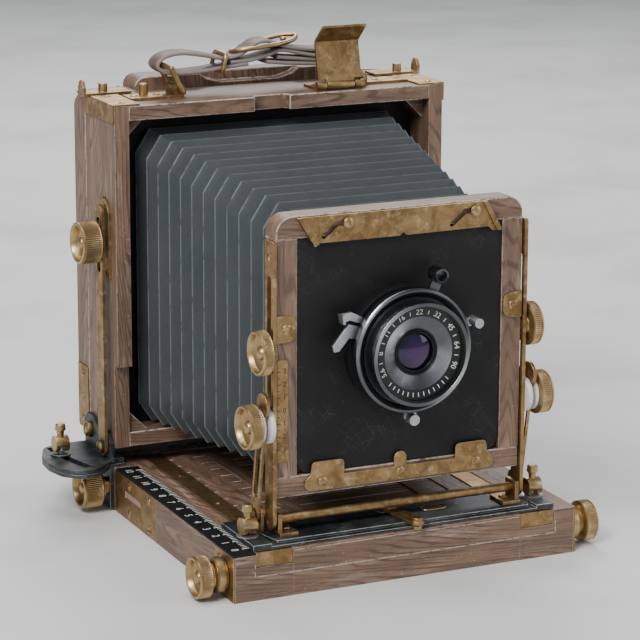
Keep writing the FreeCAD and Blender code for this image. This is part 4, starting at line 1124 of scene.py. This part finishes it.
class MakeLensDetails(bpy.types.Operator):
    """Numbers and marks on the lens bezel, its thread, and the retaining rings of the glass"""

    bl_idname = "camera_finish.lens"
    bl_label = "Lens Details"

    def execute(self, context):
        lens_z = span("speed_ring")[2][2]
        front = span("lens_cells")[0][1]
        slope, middle = 0.159, 19.6
        face = front + (3.2 + (21.8 - middle) * slope) * MM

        def on_bezel(degrees):
            """Place on the bezel, direction round it and direction up its slope; clockwise from the top."""
            angle = math.radians(degrees)
            radial = np.array([math.sin(angle), 0.0, math.cos(angle)])
            run = np.array([math.cos(angle), 0.0, -math.sin(angle)])
            rise = radial - slope * Y_AXIS
            return radial * middle * MM + np.array([0.0, face, lens_z]), run, rise / np.linalg.norm(rise)

        first, step = -112, 28
        entries = []
        for index, stop in enumerate(("5.6", "8", "11", "16", "22", "32", "45", "64", "90")):
            place, run, rise = on_bezel(first + step * index)
            entries.append((stop, place - 0.02 * MM * Y_AXIS, run, rise))
        numerals("bezel_numbers", entries, 3.7, "lens_frame", "chrome", "white_mark")
        outline = soft_rectangle(0.42 * MM, 2.0 * MM, 0.1 * MM, 2)
        between = [first + step * (index + 0.5) for index in range(8)]
        parts = [slab(outline, *on_bezel(degrees), 0.08 * MM, 0.01 * MM)
                 for degrees in between + list(range(132, 236, 8))]
        clean(new_piece("bezel_marks", *joined(parts), "white_mark", "lens_frame", "chrome", smooth=False))
        rows, pitch, start, wall = 28, 0.11, 0.2, 22.7
        thread = [(start + pitch * i, 22.3 + 0.25 * (i % 2)) for i in range(rows)]
        thread += [(start + pitch * rows, wall), (start, wall)]
        shape = turned_loop(in_metres(thread), (0, front, lens_z), Y_AXIS, 96)
        clean(new_piece("bezel_thread", *shape, "gloss_black", "lens_frame", "shutter_black"))
        for index, (radius, deep, wire) in enumerate(((10.5, 6.3, 0.40), (9.35, 6.9, 0.5))):
            ring = circle(72) * radius * MM
            path = np.stack([ring[:, 0], np.full(72, front + deep * MM), lens_z + ring[:, 1]], -1)
            wire_loop(f"glass_retainer_{index + 1}", path, wire * MM, "lens_frame", "shutter_black",
                      "gloss_black", across=Y_AXIS)
        return {"FINISHED"}


class MakeTrim(bpy.types.Operator):
    """Battens, beads and inlay on the bed, plates on the back and front, and washers under the clamps"""

    bl_idname = "camera_finish.trim"
    bl_label = "Trim"

    def execute(self, context):
        low, high, middle = span("bed_panel")
        long = (high[1] - low[1]) / MM - 16
        back_low, back_high = span("back_frame")[:2]
        plate_y = back_low[1] + 8.6 * MM
        for sign, word in ((-1, "left"), (1, "right")):
            for index, (x, wide) in enumerate(((35.0, 9.0), (52.0, 10.0))):
                place = (sign * x * MM, middle[1], high[2] - 0.1 * MM)
                oblong(f"bed_batten_{word}_{index + 1}", place, Z_AXIS, (wide, long), "wood_y", "base",
                       "panel_wood", thick=0.75)
            oblong(f"back_side_plate_{word}", (sign * (back_high[0] - 0.05 * MM), plate_y, 50 * MM),
                   sign * X_AXIS, (14.5, 33), "plate_brass", "back", "brass", thick=0.6)
        rail_low, rail_high = span("focus_rails")[:2]
        for sign, word in ((-1, "left"), (1, "right")):
            run = [(sign * 71.2 * MM, rail_low[1] + u * MM, rail_high[2] - 0.25 * MM)
                   for u in np.linspace(41, 143, 40)]
            shape = carried(run, circle(10) * 0.45 * MM, X_AXIS)
            clean(new_piece(f"rail_bead_{word}", *shape, "knob_brass", "base", "brass"))
        front = span("bed_frame")[0][1]
        strokes = [((0.0, front, 11.5 * MM), 158.0, 0.45), ((0.0, front, 21.9 * MM), 118.0, 0.35)]
        strokes += [((sign * 79.0 * MM, front, 14.4 * MM), 0.45, 6.2) for sign in (-1, 1)]
        marks("bed_inlay", strokes, -Y_AXIS, Z_AXIS, "base", "wood", "wood_x_edge")
        label_x = span("bed_side_plates")[1][0] - 0.6 * MM
        for sign, word in ((-1, "left"), (1, "right")):
            oblong(f"side_label_{word}", (sign * label_x, front + 127 * MM, 12.8 * MM), sign * X_AXIS,
                   (20.4, 3.2), "label", "base", "panel_wood", 0.3, 0.25)
        plate_low, plate_high = span("front_swing_plate")[:2]
        centre = np.array([21.0 * MM, plate_low[1] + 12.7 * MM, plate_high[2]])
        outline = soft_rectangle(12.6 * MM, 5.6 * MM, 2.7 * MM)
        shape = slab(outline * 0.93, centre - 0.02 * MM * Z_AXIS, X_AXIS, Y_AXIS, 0.25 * MM)
        new_piece("index_plate_face", *shape, "plate_brass", "front_swing", "brass")
        rim = centre + np.pad(outline, ((0, 0), (0, 1)))
        wire_loop("index_plate_rim", rim, 0.5 * MM, "front_swing")
        post = [(0, 0), (0, 2.3), (5.2, 2.3), (5.6, 1.9), (5.6, 0)]
        foot = (-66.0 * MM, front + 167.5 * MM, span("rear_box_top")[1][2] + 1.3 * MM)
        clean(new_piece("strap_plate_post", *turned_shape(in_metres(post), foot, Z_AXIS, 28), "knob_brass",
                        "rear_box", "brass"))
        heads = [((sign * (back_high[0] / MM + 0.5), plate_y / MM, z), sign * X_AXIS, 1.8)
                 for sign in (-1, 1) for z in (38, 50, 62)]
        screws("back_plate_screws", heads, "back")
        washer = [(0, 1.2), (0, 5.4), (0.3, 5.4), (0.45, 5.1), (0.45, 1.2)]
        for node in ("front_cam_left", "front_cam_right"):
            middle = span(node)[2]
            seat = (middle[0], middle[1], span("carriage_plate")[1][2] - 0.3 * MM)
            shape = turned_loop(in_metres(washer), seat, Z_AXIS, 40)
            clean(new_piece(node + "_washer", *shape, "chrome", "front_carriage", "chrome"))
        return {"FINISHED"}


class MakeStage(bpy.types.Operator):
    """Pale floor and backdrop, soft lights and the camera"""

    bl_idname = "camera_finish.stage"
    bl_label = "Stage"

    def execute(self, context):
        link = context.scene.collection.objects.link
        front, back, tall, radius = -4.0, 2.2, 4.0, 1.2
        profile = [(front, 0.0)]
        profile += [(back + radius * math.sin(a), radius - radius * math.cos(a))
                    for a in np.linspace(0, TAU / 4, 12)]
        profile += [(back + radius, tall)]
        mesh = bpy.data.meshes.new("stage_floor")
        mesh.from_pydata([(x, y, z) for y, z in profile for x in (-4.0, 0.0, 4.0)], [],
                         grid_faces(len(profile), 3).tolist())
        mesh.polygons.foreach_set("use_smooth", np.full(len(mesh.polygons), True))
        mesh.materials.append(plain_finish("stage_paper", (0.72, 0.72, 0.71), 0.7, 8.0))
        floor = bpy.data.objects.new("stage_floor", mesh)
        link(floor)
        world = bpy.data.worlds.new("studio")
        context.scene.world = world
        world.use_nodes = True
        sky = world.node_tree.nodes["Background"].inputs
        sky["Color"].default_value = (0.82, 0.85, 0.90, 1.0)
        sky["Strength"].default_value = 0.42
        for name, place, size, power in (
                ("key", (-1.1, -0.9, 1.4), 0.7, 30.0), ("fill", (1.5, -0.9, 0.8), 1.2, 8.0),
                ("rim", (0.5, 1.3, 1.2), 0.8, 16.0), ("top", (-0.2, 0.0, 1.7), 0.9, 9.0)):
            lamp = bpy.data.lights.new(name, "AREA")
            lamp.size, lamp.energy = size, power
            light = bpy.data.objects.new(name, lamp)
            light.location = place
            aim = Vector((0, 0, 0.1)) - Vector(place)
            light.rotation_euler = aim.to_track_quat("-Z", "Y").to_euler()
            link(light)
        lens = bpy.data.cameras.new("view")
        lens.lens, lens.sensor_width = 153.6, 36.0
        lens.clip_start, lens.clip_end = 0.05, 40.0
        view = bpy.data.objects.new("view", lens)
        link(view)
        view.location = (-0.5550, -1.1832, 0.4306)
        yaw, pitch, roll = math.radians(25.035), math.radians(14.053), math.radians(0.213)
        flat = math.cos(pitch)
        look = Vector((math.sin(yaw) * flat, math.cos(yaw) * flat, -math.sin(pitch)))
        turn = look.to_track_quat("-Z", "Y").to_matrix().to_4x4()
        view.rotation_euler = (turn @ Matrix.Rotation(roll, 4, "Z")).to_euler()
        context.scene.camera = view
        context.scene.view_settings.view_transform = "AgX"
        return {"FINISHED"}


class CameraPanel(bpy.types.Panel):
    """Lists the camera's settings and makers"""

    bl_idname = "VIEW3D_PT_field_camera"
    bl_label = "Field Camera"
    bl_space_type = "VIEW_3D"
    bl_region_type = "UI"
    bl_category = "Field Camera"

    def draw(self, context):
        for group in (context.scene.camera_sizes, context.scene.camera_colours):
            for name in group.__annotations__:
                self.layout.prop(group, name)
        for maker in MAKERS:
            self.layout.operator(maker.bl_idname)


MAKERS = (MakeStage, FinishWood, FinishMetal, MakeKnobs, MakeBellows, MakeStrap, MakeScrews, MakeScales,
          MakeLensDetails, MakeTrim)
CLASSES = (CameraSizes, CameraColours, *MAKERS, CameraPanel)


def register():
    """Registers the classes and hangs the settings on the scene."""
    for item in CLASSES:
        bpy.utils.register_class(item)
    bpy.types.Scene.camera_sizes = bpy.props.PointerProperty(type=CameraSizes)
    bpy.types.Scene.camera_colours = bpy.props.PointerProperty(type=CameraColours)


def unregister():
    """Takes everything away again."""
    del bpy.types.Scene.camera_sizes
    del bpy.types.Scene.camera_colours
    for item in reversed(CLASSES):
        bpy.utils.unregister_class(item)


def main():
    """Makes every piece in order."""
    register()
    for maker in MAKERS:
        group, name = maker.bl_idname.split(".")
        getattr(getattr(bpy.ops, group), name)()


if __name__ == "__main__":
    main()
